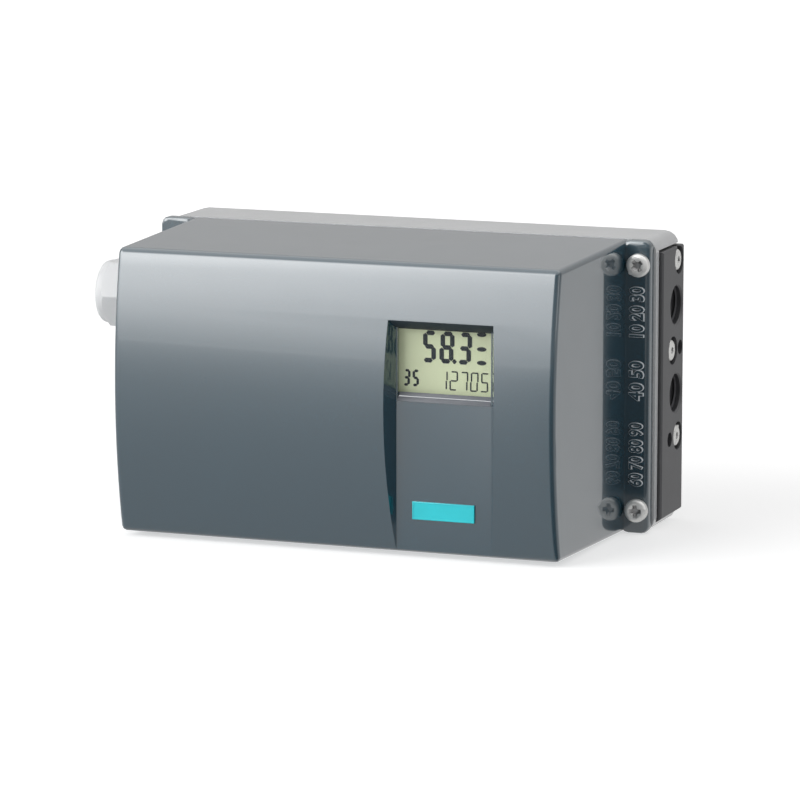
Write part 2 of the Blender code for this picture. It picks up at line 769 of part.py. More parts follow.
def pan_screw(name, axis, centre, seat, head, height, shank, tip, out):
    """A pan-head screw with a cross recess; out is -1 or 1, the way its head looks."""
    crown = seat + out * height
    shoulder = seat + out * height * 0.45
    profile = [
        (0, tip),
        (shank, tip),
        (shank, seat),
        (head, seat),
        (head, shoulder),
        (head * 0.86, seat + out * height * 0.8),
        (head * 0.5, crown),
        (0, crown),
    ]
    screw = turned(name, axis, centre, profile, 16)
    arm = head * 0.5
    recess = cross(centre[0], centre[1], arm, arm * 0.28)
    deep = crown - out * height * 0.6
    return cut(screw, extruded(f"cut_{name}", axis, recess, deep, crown + out * OVERSHOOT))


def cover_screws():
    screws = []
    seat = FLANGE_FRONT - GAP
    tip = FLANGE_BACK + COVER_SCREW_LENGTH - GAP
    names = ("right_top", "right_bottom", "left_top", "left_bottom")
    for name, place in zip(names, cover_screw_places()):
        screw = pan_screw(
            f"cover_screw_{name}",
            "Y",
            place,
            seat,
            COVER_SCREW_HEAD,
            COVER_SCREW_HEAD_HEIGHT,
            COVER_SCREW_SHANK,
            tip,
            -1,
        )
        screws.append(paint(smooth(screw), ZINC, 0.25, 1))
    return screws


# Connection block

def connection_block():
    body = block(
        "connection_block",
        (BLOCK_BACK_X, -BLOCK_DEPTH, BLOCK_BOTTOM),
        (BLOCK_FACE, 0, BLOCK_TOP),
    )
    soften(body, BLOCK_EDGE, 1, lambda middle: middle.x > BLOCK_FACE - GAP)
    for index, z in enumerate(PORT_HEIGHTS):
        deep = BLOCK_FACE - PORT_LENGTH
        core = deep - PORT_CORE_LENGTH
        chamfer = PORT_MOUTH - PORT_RADIUS
        profile = [
            (0, core),
            (PORT_CORE, core),
            (PORT_CORE, deep),
            (PORT_RADIUS, deep),
            (PORT_RADIUS, BLOCK_FACE - chamfer),
            (PORT_MOUTH + OVERSHOOT, BLOCK_FACE + OVERSHOOT),
            (0, BLOCK_FACE + OVERSHOOT),
        ]
        cut(body, turned(f"cut_port_{index}", "X", (-PORT_BACK, z), profile, 28))
    for index, (back, z) in enumerate(zip(BLOCK_SCREW_BACKS, BLOCK_SCREW_HEIGHTS)):
        head = BLOCK_SCREW_HEAD + 3 * GAP
        shank = BLOCK_SCREW_SHANK + GAP
        seat = BLOCK_FACE - BLOCK_SCREW_SINK
        profile = [
            (0, BLOCK_BACK_X - OVERSHOOT),
            (shank, BLOCK_BACK_X - OVERSHOOT),
            (shank, seat),
            (head, seat),
            (head, BLOCK_FACE + OVERSHOOT),
            (0, BLOCK_FACE + OVERSHOOT),
        ]
        cut(body, turned(f"cut_counterbore_{index}", "X", (-back, z), profile, 20))
    for index, (back, z) in enumerate(zip(RESTRICTOR_BACKS, RESTRICTOR_HEIGHTS)):
        deep = BLOCK_FACE - RESTRICTOR_SINK - RESTRICTOR_LENGTH - GAP
        radius = RESTRICTOR_RADIUS + GAP
        high = BLOCK_FACE + OVERSHOOT
        cut(body, cylinder(f"cut_restrictor_{index}", "X", (-back, z), radius, deep, high, 16))
    for index, z in enumerate((-COVER_SCREW_Z, COVER_SCREW_Z)):
        back = -BLOCK_DEPTH - POCKET_GAP + COVER_SCREW_LENGTH + GAP
        radius = SCREW_BOSS + GAP
        place = (COVER_SCREW_X, z)
        low = -BLOCK_DEPTH - OVERSHOOT
        cut(body, cylinder(f"cut_relief_{index}", "Y", place, radius, low, back, 16))
    return paint(smooth(body), CHARCOAL, 0.5)


def block_gasket():
    sheet = block(
        "block_gasket",
        (GASKET_X, -BLOCK_DEPTH + GAP, BLOCK_BOTTOM + GAP),
        (GASKET_X + GASKET_THICKNESS, -GAP, BLOCK_TOP - GAP),
    )
    for index, (back, z) in enumerate(zip(BLOCK_SCREW_BACKS, BLOCK_SCREW_HEIGHTS)):
        radius = BLOCK_SCREW_SHANK + GAP
        low = GASKET_X - OVERSHOOT
        high = GASKET_X + GASKET_THICKNESS + OVERSHOOT
        cut(sheet, cylinder(f"cut_gasket_{index}", "X", (-back, z), radius, low, high, 12))
    return paint(sheet, RUBBER, 0.8)


def block_screws():
    screws = []
    names = ("top", "middle", "bottom")
    for name, back, z in zip(names, BLOCK_SCREW_BACKS, BLOCK_SCREW_HEIGHTS):
        screw = pan_screw(
            f"block_screw_{name}",
            "X",
            (-back, z),
            BLOCK_FACE - BLOCK_SCREW_SINK + GAP,
            BLOCK_SCREW_HEAD,
            BLOCK_SCREW_HEAD_HEIGHT,
            BLOCK_SCREW_SHANK,
            block_screw_tip(),
            1,
        )
        screws.append(paint(smooth(screw), ZINC, 0.25, 1))
    return screws


def restrictor_screws():
    """Two slotted needle screws that throttle the air to the actuator."""
    screws = []
    for name, back, z in zip(("upper", "lower"), RESTRICTOR_BACKS, RESTRICTOR_HEIGHTS):
        high = BLOCK_FACE - RESTRICTOR_SINK
        low = high - RESTRICTOR_LENGTH
        profile = [
            (0, low),
            (RESTRICTOR_RADIUS * 0.4, low),
            (RESTRICTOR_RADIUS, low + RESTRICTOR_RADIUS),
            (RESTRICTOR_RADIUS, high),
            (0, high),
        ]
        screw = turned(f"restrictor_screw_{name}", "X", (-back, z), profile, 12)
        slot = rectangle(
            -back - 2 * RESTRICTOR_RADIUS,
            -back + 2 * RESTRICTOR_RADIUS,
            z - RESTRICTOR_RADIUS / 5,
            z + RESTRICTOR_RADIUS / 5,
        )
        deep = high - RESTRICTOR_RADIUS / 2
        cut(screw, extruded(f"cut_restrictor_slot_{name}", "X", slot, deep, high + OVERSHOOT))
        pivot(f"axis_restrictor_{name}", (high, -back, z), screw)
        screws.append(paint(smooth(screw), ZINC, 0.3, 1))
    return screws


# Cable entries

def washer(name, z):
    low = WALL_LEFT - GAP - GLAND_WASHER
    high = WALL_LEFT - GAP
    inner = ENTRY_RADIUS + GAP
    outer = PLUG_HEAD - GAP
    profile = [(inner, low), (outer, low), (outer, high), (inner, high)]
    return paint(smooth(turned(name, "X", (-ENTRY_BACK, z), profile, 24)), RUBBER, 0.8)


def entry_face():
    """Where a gland or plug seats on its washer."""
    return WALL_LEFT - 2 * GAP - GLAND_WASHER


def gland_body():
    """Threaded spigot, hexagon flange and the collar that the dome nut runs on."""
    centre = (-ENTRY_BACK, GLAND_HEIGHT)
    face = entry_face()
    flange_end = face - GLAND_FLANGE
    outline = hexagon(centre[0], centre[1], GLAND_FLATS, pi / 2)
    body = extruded("gland_body", "X", outline, flange_end, face)
    overlap = GLAND_FLANGE / 2
    join(
        body,
        cylinder("add_gland_thread", "X", centre, ENTRY_RADIUS, face - overlap, face + ENTRY_THREAD + GAP),
        cylinder(
            "add_gland_collar",
            "X",
            centre,
            GLAND_COLLAR,
            flange_end - GLAND_COLLAR_LENGTH,
            flange_end + overlap,
        ),
    )
    low = flange_end - GLAND_COLLAR_LENGTH - OVERSHOOT
    high = face + ENTRY_THREAD + OVERSHOOT
    cut(body, cylinder("cut_gland_bore", "X", centre, GLAND_BORE + GAP, low, high))
    return paint(smooth(body), WHITE, 0.4)


def gland_nut():
    """Dome nut: a hexagon with a rounded end, turned hollow."""
    centre = (-ENTRY_BACK, GLAND_HEIGHT)
    back = entry_face() - GLAND_FLANGE - 2 * GAP
    end = back - NUT_LENGTH
    corner = NUT_FLATS / sqrt(3)
    profile = [(0, back), (corner, back)]
    for step in range(5):
        turn = pi / 8 * step
        radius = corner - 1.45 * NUT_DOME * (1 - cos(turn))
        profile.append((radius, end + NUT_DOME * (1 - sin(turn))))
    profile.append((0, end))
    nut = turned("gland_nut", "X", centre, profile, 36)
    outline = hexagon(centre[0], centre[1], NUT_FLATS, 0)
    shape = extruded("keep_nut_flats", "X", outline, end - OVERSHOOT, back + OVERSHOOT)
    combine(nut, shape, "INTERSECT")
    room = GLAND_COLLAR + 2 * GAP
    hollow = [
        (0, end - OVERSHOOT),
        (NUT_MOUTH, end - OVERSHOOT),
        (NUT_MOUTH, end + NUT_LIP),
        (room, end + NUT_LIP + NUT_MOUTH / 3),
        (room, back + OVERSHOOT),
        (0, back + OVERSHOOT),
    ]
    cut(nut, turned("cut_nut", "X", centre, hollow, 24))
    pivot("axis_gland_nut", (end, centre[0], centre[1]), nut)
    return paint(smooth(nut), WHITE, 0.35)


def gland_insert():
    """Rubber bush that closes on the cable."""
    centre = (-ENTRY_BACK, GLAND_HEIGHT)
    high = entry_face() - GLAND_FLANGE - GLAND_COLLAR_LENGTH - GAP
    low = entry_face() - GLAND_FLANGE - 2 * GAP - NUT_LENGTH + NUT_LIP + NUT_MOUTH / 3 + GAP
    profile = [(GLAND_BORE, low), (GLAND_COLLAR, low), (GLAND_COLLAR, high), (GLAND_BORE, high)]
    return paint(smooth(turned("gland_insert", "X", centre, profile, 24)), RUBBER, 0.8)


def blanking_plug():
    centre = (-ENTRY_BACK, PLUG_HEIGHT)
    face = entry_face()
    end = face - PLUG_HEAD_LENGTH
    profile = [
        (0, end),
        (PLUG_HEAD * 0.9, end),
        (PLUG_HEAD, end + PLUG_HEAD * 0.1),
        (PLUG_HEAD, face),
        (ENTRY_RADIUS, face),
        (ENTRY_RADIUS, face + ENTRY_THREAD),
        (0, face + ENTRY_THREAD),
    ]
    plug = turned("blanking_plug", "X", centre, profile, 32)
    socket = hexagon(centre[0], centre[1], PLUG_HEAD * 0.85)
    deep = face + ENTRY_THREAD / 2
    cut(plug, extruded("cut_plug_socket", "X", socket, end - OVERSHOOT, deep))
    return paint(smooth(plug), BLACK, 0.5)


def exhaust_silencer():
    """Sintered disc that lets the exhaust air out of the underside."""
    low = GAP - HEIGHT / 2
    high = low + SILENCER_LENGTH
    rim = SILENCER_RADIUS * 0.75
    profile = [
        (0, low + GAP),
        (rim, low + GAP),
        (rim, low),
        (SILENCER_RADIUS, low),
        (SILENCER_RADIUS, high - GAP),
        (rim, high),
        (0, high),
    ]
    centre = (SILENCER_X, -BASE_DEPTH / 2)
    return paint(smooth(turned("exhaust_silencer", "Z", centre, profile, 24)), BRONZE, 0.6, 0.6)


# Position feedback

def toothed(u, v, module, teeth, turn):
    """The outline of a gear with straight-flanked, rounded-down teeth."""
    pitch = module * teeth / 2
    root = pitch - 1.2 * module
    tip = pitch + 0.85 * module
    step = 2 * pi / teeth
    play = TOOTH_PLAY / pitch / 2
    shares = ((root, 0.40), (pitch, 0.25), (tip, 0.13))
    outline = []
    for tooth in range(teeth):
        middle = turn + tooth * step
        for radius, share in shares:
            angle = middle - share * step + (play if radius > root else 0)
            outline.append((u + radius * cos(angle), v + radius * sin(angle)))
        for radius, share in reversed(shares):
            angle = middle + share * step - (play if radius > root else 0)
            outline.append((u + radius * cos(angle), v + radius * sin(angle)))
    return outline


def feedback_shaft():
    """Steel shaft whose rear end, with a driving flat, takes the valve's lever."""
    edge = SHAFT_RADIUS / 8
    profile = [
        (0, SHAFT_FRONT),
        (SHAFT_RADIUS - edge, SHAFT_FRONT),
        (SHAFT_RADIUS, SHAFT_FRONT + edge),
        (SHAFT_RADIUS, SHAFT_STICKOUT - edge),
        (SHAFT_RADIUS - edge, SHAFT_STICKOUT),
        (0, SHAFT_STICKOUT),
    ]
    shaft = turned("feedback_shaft", "Y", (SHAFT_X, 0), profile, 24)
    flat = block(
        "cut_shaft_flat",
        (
            SHAFT_X + SHAFT_RADIUS - SHAFT_FLAT,
            SHAFT_STICKOUT - SHAFT_FLAT_LENGTH,
            -2 * SHAFT_RADIUS,
        ),
        (SHAFT_X + 2 * SHAFT_RADIUS, SHAFT_STICKOUT + OVERSHOOT, 2 * SHAFT_RADIUS),
    )
    return paint(smooth(cut(shaft, flat)), STEEL, 0.25, 1)


def shaft_bush():
    """Flanged plain bearing in the base's boss."""
    inner = SHAFT_RADIUS + GAP
    outer = inner + BUSH_WALL
    seat = -SHAFT_BOSS_HEIGHT - GAP
    profile = [
        (inner, BUSH_FRONT),
        (outer + BUSH_WALL, BUSH_FRONT),
        (outer + BUSH_WALL, seat),
        (outer, seat),
        (outer, -GAP),
        (inner, -GAP),
    ]
    return paint(smooth(turned("shaft_bush", "Y", (SHAFT_X, 0), profile, 24)), BRONZE, 0.35, 1)


def shaft_gear():
    """The large gear and its hub, driven through the slip clutch."""
    outline = toothed(SHAFT_X, 0, GEAR_MODULE, GEAR_TEETH, 0)
    gear = extruded("shaft_gear", "Y", outline, GEAR_FRONT, GEAR_BACK)
    hub = cylinder("add_gear_hub", "Y", (SHAFT_X, 0), GEAR_HUB, HUB_FRONT, GEAR_BACK - GEAR_WIDTH / 2)
    join(gear, hub)
    inner = SHAFT_RADIUS + GAP
    bore = cylinder(
        "cut_gear_bore", "Y", (SHAFT_X, 0), inner, HUB_FRONT - OVERSHOOT, GEAR_BACK + OVERSHOOT
    )
    return paint(smooth(cut(gear, bore), 25), WHITE, 0.45)


def clutch_spring():
    """Dished washer that presses the wheel and the gear together."""
    inner = SHAFT_RADIUS + GAP
    back = HUB_FRONT - GAP
    profile = [
        (inner, back - SPRING_SHEET),
        (SPRING_RADIUS, SPRING_FRONT),
        (SPRING_RADIUS, SPRING_FRONT + SPRING_SHEET),
        (inner, back),
    ]
    return paint(smooth(turned("clutch_spring", "Y", (SHAFT_X, 0), profile, 24)), STEEL, 0.3, 1)


def clutch_wheel():
    """Thumb wheel of the slip clutch, with a grooved rim."""
    outline = []
    steps = 4
    for groove in range(WHEEL_GROOVES):
        for step in range(steps):
            turn = 2 * pi * (groove + step / steps) / WHEEL_GROOVES
            radius = WHEEL_RADIUS * (0.94 if step == 0 else 1)
            outline.append((SHAFT_X + radius * cos(turn), radius * sin(turn)))
    wheel = extruded("clutch_wheel", "Y", outline, WHEEL_FRONT, WHEEL_BACK)
    ring = WHEEL_RADIUS * 0.8
    hub = GEAR_HUB
    deep = WHEEL_FRONT + WHEEL_WIDTH * 0.55
    dish = [
        (hub, WHEEL_FRONT - OVERSHOOT),
        (ring, WHEEL_FRONT - OVERSHOOT),
        (ring, deep),
        (hub, deep),
    ]
    centre = (SHAFT_X, 0)
    inner = SHAFT_RADIUS + GAP
    bore = cylinder(
        "cut_wheel_bore", "Y", centre, inner, WHEEL_FRONT - OVERSHOOT, WHEEL_BACK + OVERSHOOT
    )
    cut(wheel, turned("cut_wheel_dish", "Y", centre, dish, 32), bore)
    return paint(smooth(wheel, 25), YELLOW, 0.45)


def circlip():
    """Open snap ring that holds the clutch on the shaft."""
    inner = SHAFT_RADIUS + GAP
    outline = []
    steps = 16
    mouth = radians(28)
    for radius, order in ((CIRCLIP_RADIUS, 1), (inner, -1)):
        for step in range(steps + 1)[::order]:
            turn = mouth + (2 * pi - 2 * mouth) * step / steps
            outline.append((SHAFT_X + radius * sin(turn), radius * cos(turn)))
    ring = extruded("circlip", "Y", outline, CIRCLIP_BACK - CIRCLIP_WIDTH, CIRCLIP_BACK)
    return paint(smooth(ring), STEEL, 0.3, 1)


def feedback_drive():
    """Everything that turns with the valve's lever."""
    centre = (SHAFT_X, 0, 0)
    pivot("axis_feedback_shaft", centre, feedback_shaft(), shaft_gear(), clutch_spring(), circlip())
    pivot("axis_clutch_wheel", centre, clutch_wheel())


def potentiometer():
    """Angle sensor: a round can on the base's floor, with a thin spindle."""
    front = GEAR_BACK + GAP
    back = FLOOR_FRONT - GAP
    shoulder = front + 2 * GAP
    profile = [
        (0, back),
        (POT_RADIUS, back),
        (POT_RADIUS, shoulder + POT_RADIUS / 6),
        (POT_RADIUS * 5 / 6, shoulder),
        (POT_SHAFT, shoulder),
        (POT_SHAFT, GEAR_FRONT - GAP),
        (0, GEAR_FRONT - GAP),
    ]
    pot = turned("potentiometer", "Y", (PINION_X, 0), profile, 28)
    return paint(smooth(pot), BLUE, 0.5)


def pot_pinion():
    turn = pi + pi / PINION_TEETH
    outline = toothed(PINION_X, 0, GEAR_MODULE, PINION_TEETH, turn)
    pinion = extruded("pot_pinion", "Y", outline, GEAR_FRONT, GEAR_BACK)
    low = GEAR_FRONT - OVERSHOOT
    high = GEAR_BACK + OVERSHOOT
    radius = POT_SHAFT + GAP
    cut(pinion, cylinder("cut_pinion", "Y", (PINION_X, 0), radius, low, high, 16))
    pivot("axis_pot_pinion", (PINION_X, 0, 0), pinion)
    return paint(smooth(pinion, 25), BRONZE, 0.3, 1)


def sensor_ribbon():
    """Flat lead from the potentiometer up to the main board."""
    start = PINION_X + POT_RADIUS + GAP
    corner = start + RIBBON_REACH
    back = FLOOR_FRONT - 4 * GAP
    outline = [
        (start, back - RIBBON_SHEET),
        (corner, back - RIBBON_SHEET),
        (corner, BOARD_BACK + GAP),
        (corner + RIBBON_SHEET, BOARD_BACK + GAP),
        (corner + RIBBON_SHEET, back),
        (start, back),
    ]
    half = RIBBON_WIDTH / 2
    return paint(extruded("sensor_ribbon", "Z", outline, -half, half), GREY, 0.6)


def ratio_selector():
    """Saddle that slides on its rail between the two transmission ratios."""
    top = FLOOR_FRONT - RAIL_HEIGHT - GAP
    inner = RAIL_WIDTH / 2 + GAP
    outer = inner + SELECTOR_WALL
    outline = [
        (SELECTOR_X - outer, top + SELECTOR_LEGS),
        (SELECTOR_X - outer, top - SELECTOR_WALL),
        (SELECTOR_X + outer, top - SELECTOR_WALL),
        (SELECTOR_X + outer, top + SELECTOR_LEGS),
        (SELECTOR_X + inner, top + SELECTOR_LEGS),
        (SELECTOR_X + inner, top),
        (SELECTOR_X - inner, top),
        (SELECTOR_X - inner, top + SELECTOR_LEGS),
    ]
    low = -SELECTOR_TRAVEL / 2 - SELECTOR_LENGTH / 2
    saddle = extruded("ratio_selector", "Z", outline, low, low + SELECTOR_LENGTH)
    grip = block(
        "add_selector_grip",
        (SELECTOR_X - SELECTOR_WALL / 2, top - 2.5 * SELECTOR_WALL, low + SELECTOR_LENGTH / 3),
        (SELECTOR_X + SELECTOR_WALL / 2, top - SELECTOR_WALL / 2, low + SELECTOR_LENGTH * 2 / 3),
    )
    pivot("axis_ratio_selector", (SELECTOR_X, top, -SELECTOR_TRAVEL / 2), saddle)
    return paint(join(saddle, grip), YELLOW, 0.45)


# Pneumatics

def valve_right():
    return VALVE_LEFT + VALVE_WIDTH


def valve_screw_places():
    edge = VALVE_SCREW_EDGE
    half = VALVE_HEIGHT / 2 - edge
    return [(VALVE_LEFT + edge, half), (valve_right() - edge, -half)]


def valve_block():
    half = VALVE_HEIGHT / 2
    body = block("valve_block", (VALVE_LEFT, VALVE_FRONT, -half), (valve_right(), VALVE_BACK, half))
    soften(body, VALVE_EDGE, 1, lambda middle: True)
    for index, place in enumerate(valve_screw_places()):
        radius = VALVE_SCREW_SHANK + GAP
        back = VALVE_FRONT + VALVE_SCREW_LENGTH + GAP
        low = VALVE_FRONT - OVERSHOOT
        cut(body, cylinder(f"cut_valve_screw_{index}", "Y", place, radius, low, back, 12))
    low = VALVE_LEFT - OVERSHOOT
    high = VALVE_LEFT + PURGE_HEIGHT / 2
    centre = (VALVE_FRONT + PURGE_DEPTH, 0)
    cut(body, cylinder("cut_purge_seat", "X", centre, PURGE_RADIUS + GAP, low, high))
    return paint(body, GREY, 0.4, 0.3)


def valve_gasket():
    half = VALVE_HEIGHT / 2 - VALVE_EDGE
    sheet = block(
        "valve_gasket",
        (VALVE_LEFT + VALVE_EDGE, VALVE_BACK + GAP, -half),
        (valve_right() - VALVE_EDGE, VALVE_BACK + GAP + GASKET_THICKNESS, half),
    )
    return paint(sheet, RUBBER, 0.8)


def valve_screws():
    screws = []
    for name, place in zip(("left", "right"), valve_screw_places()):
        screw = pan_screw(
            f"valve_screw_{name}",
            "Y",
            place,
            VALVE_FRONT - GAP,
            VALVE_SCREW_HEAD,
            VALVE_SCREW_HEAD,
            VALVE_SCREW_SHANK,
            VALVE_FRONT + VALVE_SCREW_LENGTH,
            -1,
        )
        screws.append(paint(smooth(screw), ZINC, 0.3, 1))
    return screws


def pilot_valve(name, x):
    """A stepped piezo pilot valve that stands on the valve block."""
    back = VALVE_FRONT - GAP
    front = back - PILOT_DEPTH
    step = back - PILOT_STEP
    half = PILOT_HEIGHT / 2
    lip = PILOT_HEIGHT / 12
    outline = [
        (back, -half),
        (back, half),
        (step, half),
        (step, half - lip),
        (front, half - lip),
        (front, lip - half),
        (step, lip - half),
        (step, -half),
    ]
    valve = extruded(name, "X", outline, x - PILOT_WIDTH / 2, x + PILOT_WIDTH / 2)
    return paint(valve, BLACK, 0.5)


def pilot_valves():
    middle = VALVE_LEFT + VALVE_WIDTH / 2
    shift = PILOT_WIDTH / 2 + 2 * GAP
    shifted = (middle - shift, middle + shift)
    names = ("inlet_pilot_valve", "exhaust_pilot_valve")
    return [pilot_valve(name, x) for name, x in zip(names, shifted)]


def purge_selector():
    """Slotted disc that turns a quarter turn to switch the purge air."""
    seat = VALVE_LEFT + PURGE_HEIGHT / 2 - GAP
    face = seat - PURGE_HEIGHT
    centre = (VALVE_FRONT + PURGE_DEPTH, 0)
    disc = cylinder("purge_selector", "X", centre, PURGE_RADIUS, face, seat)
    half = PURGE_RADIUS / 6
    slot = rectangle(centre[0] - half, centre[0] + half, -PURGE_RADIUS * 2, PURGE_RADIUS * 2)
    cut(disc, extruded("cut_purge_slot", "X", slot, face - OVERSHOOT, face + PURGE_HEIGHT / 3))
    pivot("axis_purge_selector", (face, centre[0], 0), disc)
    return paint(smooth(disc), BLACK, 0.5)


# Electronics

def pillar_places():
    return [(x, z) for x in (PILLAR_LEFT, PILLAR_RIGHT) for z in (PILLAR_Z, -PILLAR_Z)]


def module_screw_places():
    return [(PILLAR_LEFT, PILLAR_Z), (PILLAR_RIGHT, -PILLAR_Z)]


def board_pillars():
    pillars = []
    names = ("left_top", "left_bottom", "right_top", "right_bottom")
    for name, place in zip(names, pillar_places()):
        outline = hexagon(place[0], place[1], 2 * PILLAR_RADIUS)
        back = FLOOR_FRONT - GAP
        front = BOARD_BACK + GAP
        pillar = extruded(f"board_pillar_{name}", "Y", outline, front, back)
        if place in module_screw_places():
            radius = MODULE_SCREW_SHANK + GAP
            deep = front + MODULE_SCREW_GRIP
            hole = cylinder(f"cut_pillar_{name}", "Y", place, radius, front - OVERSHOOT, deep, 12)
            cut(pillar, hole)
        pillars.append(paint(pillar, BRONZE, 0.35, 1))
    return pillars


def main_board():
    """Circuit board inside the module cover's skirt."""
    inside = MODULE_WALL + GAP
    half = MODULE_HEIGHT / 2 - inside
    left = MODULE_LEFT + inside
    right = MODULE_RIGHT - inside
    outline = rounded(left, right, -half, half, MODULE_CORNER, 2)
    board = extruded("main_board", "Y", outline, BOARD_FRONT, BOARD_BACK)
    for index, place in enumerate(module_screw_places()):
        radius = MODULE_SCREW_SHANK + GAP
        low = BOARD_FRONT - OVERSHOOT
        high = BOARD_BACK + OVERSHOOT
        cut(board, cylinder(f"cut_board_{index}", "Y", place, radius, low, high, 12))
    return paint(board, GREEN, 0.4)


def display_box():
    """The display glass's left, right, bottom and top edges."""
    half = WINDOW_WIDTH / 2 + DISPLAY_MARGIN
    bottom = WINDOW_BOTTOM - DISPLAY_MARGIN
    return POCKET_CENTRE - half, POCKET_CENTRE + half, bottom, WINDOW_TOP + DISPLAY_MARGIN


def grown(box, margin):
    left, right, bottom, top = box
    return left - margin, right + margin, bottom - margin, top + margin


def module_cover():
    """Black cap over the board, open to the back."""
    half = MODULE_HEIGHT / 2
    outline = rounded(MODULE_LEFT, MODULE_RIGHT, -half, half, MODULE_CORNER, 3)
    cap = extruded("module_cover", "Y", outline, MODULE_FRONT, MODULE_BACK)
    soften(cap, MODULE_WALL / 2, 2, lambda middle: middle.y < MODULE_FRONT + GAP)
    wall = MODULE_WALL
    inner = rounded(
        MODULE_LEFT + wall, MODULE_RIGHT - wall, wall - half, half - wall, MODULE_CORNER - wall / 2, 3
    )
    hollow = extruded("cut_module_hollow", "Y", inner, MODULE_FRONT + wall, MODULE_BACK + OVERSHOOT)
    cut(cap, hollow)
    for index, place in enumerate(module_screw_places()):
        front = MODULE_FRONT + wall / 2
        back = BOARD_FRONT - GAP
        join(cap, cylinder(f"add_column_{index}", "Y", place, MODULE_COLUMN, front, back, 16))
        hole = cylinder(
            f"cut_column_{index}",
            "Y",
            place,
            MODULE_SCREW_SHANK + GAP,
            MODULE_FRONT - OVERSHOOT,
            BOARD_FRONT,
            12,
        )
        cut(cap, hole)
    low = MODULE_FRONT - OVERSHOOT
    high = MODULE_FRONT + wall + OVERSHOOT
    frame = grown(display_box(), FRAME_WALL + 2 * GAP)
    cut(cap, extruded("cut_module_display", "Y", rectangle(*frame), low, high))
    for index, x in enumerate(key_places()):
        outline = key_outline(x, GAP)
        cut(cap, extruded(f"cut_module_key_{index}", "Y", outline, low, high))
    return paint(smooth(cap), BLACK, 0.45)


def module_screws():
    screws = []
    for name, place in zip(("top", "bottom"), module_screw_places()):
        screw = pan_screw(
            f"module_screw_{name}",
            "Y",
            place,
            MODULE_FRONT - GAP,
            MODULE_SCREW_HEAD,
            MODULE_SCREW_HEAD * 0.6,
            MODULE_SCREW_SHANK,
            BOARD_BACK + MODULE_SCREW_GRIP,
            -1,
        )
        screws.append(paint(smooth(screw), ZINC, 0.3, 1))
    return screws


def display_frame():
    """Frame that carries the display glass in front of the board."""
    box = grown(display_box(), FRAME_WALL + GAP)
    frame = extruded("display_frame", "Y", rectangle(*box), DISPLAY_FRONT, BOARD_FRONT - GAP)
    seat = DISPLAY_FRONT + DISPLAY_THICKNESS + GAP
    front = rectangle(*grown(display_box(), GAP))
    back = rectangle(*grown(display_box(), -GAP))
    cut(frame, extruded("cut_frame_front", "Y", front, DISPLAY_FRONT - OVERSHOOT, seat))
    cut(frame, extruded("cut_frame_back", "Y", back, seat + FRAME_FLOOR, BOARD_FRONT + OVERSHOOT))
    return paint(frame, BLACK, 0.5)


def display_glass():
    outline = rectangle(*display_box())
    back = DISPLAY_FRONT + DISPLAY_THICKNESS
    glass = extruded("display_glass", "Y", outline, DISPLAY_FRONT, back)
    return paint(glass, GLASS_GREEN, 0.2)


def key_places():
    return [POCKET_CENTRE + KEY_PITCH * shift for shift in (-1, 0, 1)]


def key_outline(x, play):
    half_x = KEY_WIDTH / 2 + play
    half_z = KEY_HEIGHT / 2 + play
    return rounded(x - half_x, x + half_x, KEY_Z - half_z, KEY_Z + half_z, KEY_HEIGHT / 4, 2)


def keys():
    """Mode, down and up: caps with a flange behind the module cover and a stem to the board."""
    pieces = []
    behind = MODULE_FRONT + MODULE_WALL + GAP
    front = MODULE_FRONT - KEY_PROUD
    stem_end = BOARD_FRONT - KEY_TRAVEL - GAP
    for name, x in zip(("key_mode", "key_down", "key_up"), key_places()):
        outline = key_outline(x, 0)
        cap = extruded(name, "Y", outline, front, behind + KEY_FLANGE / 2)
        soften(cap, KEY_PROUD / 4, 1, lambda middle: middle.y < front + GAP)
        flange_outline = key_outline(x, 3 * GAP)
        join(
            cap,
            extruded(f"add_{name}_flange", "Y", flange_outline, behind, behind + KEY_FLANGE),
            cylinder(f"add_{name}_stem", "Y", (x, KEY_Z), KEY_STEM, behind, stem_end, 12),
        )
        pivot(f"axis_{name}", (x, front, KEY_Z), cap)
        pieces.append(paint(cap, GREY, 0.5))
    return pieces


# Cable terminals

def terminal_middle():
    return TERMINAL_LEFT + TERMINAL_WIDTH / 2


def terminal_pillars():
    pillars = []
    for name, z in (("top", TERMINAL_PILLAR_Z), ("bottom", -TERMINAL_PILLAR_Z)):
        outline = hexagon(terminal_middle(), z, 2 * PILLAR_RADIUS)
        back = FLOOR_FRONT - GAP
        pillar = extruded(f"terminal_pillar_{name}", "Y", outline, TERMINAL_BACK + GAP, back)
        pillars.append(paint(pillar, BRONZE, 0.35, 1))
    return pillars


def terminal_board():
    half = TERMINAL_HEIGHT / 2
    right = TERMINAL_LEFT + TERMINAL_WIDTH
    front = TERMINAL_BACK - BOARD_THICKNESS
    board = block("terminal_board", (TERMINAL_LEFT, front, -half), (right, TERMINAL_BACK, half))
    return paint(board, GREEN, 0.4)


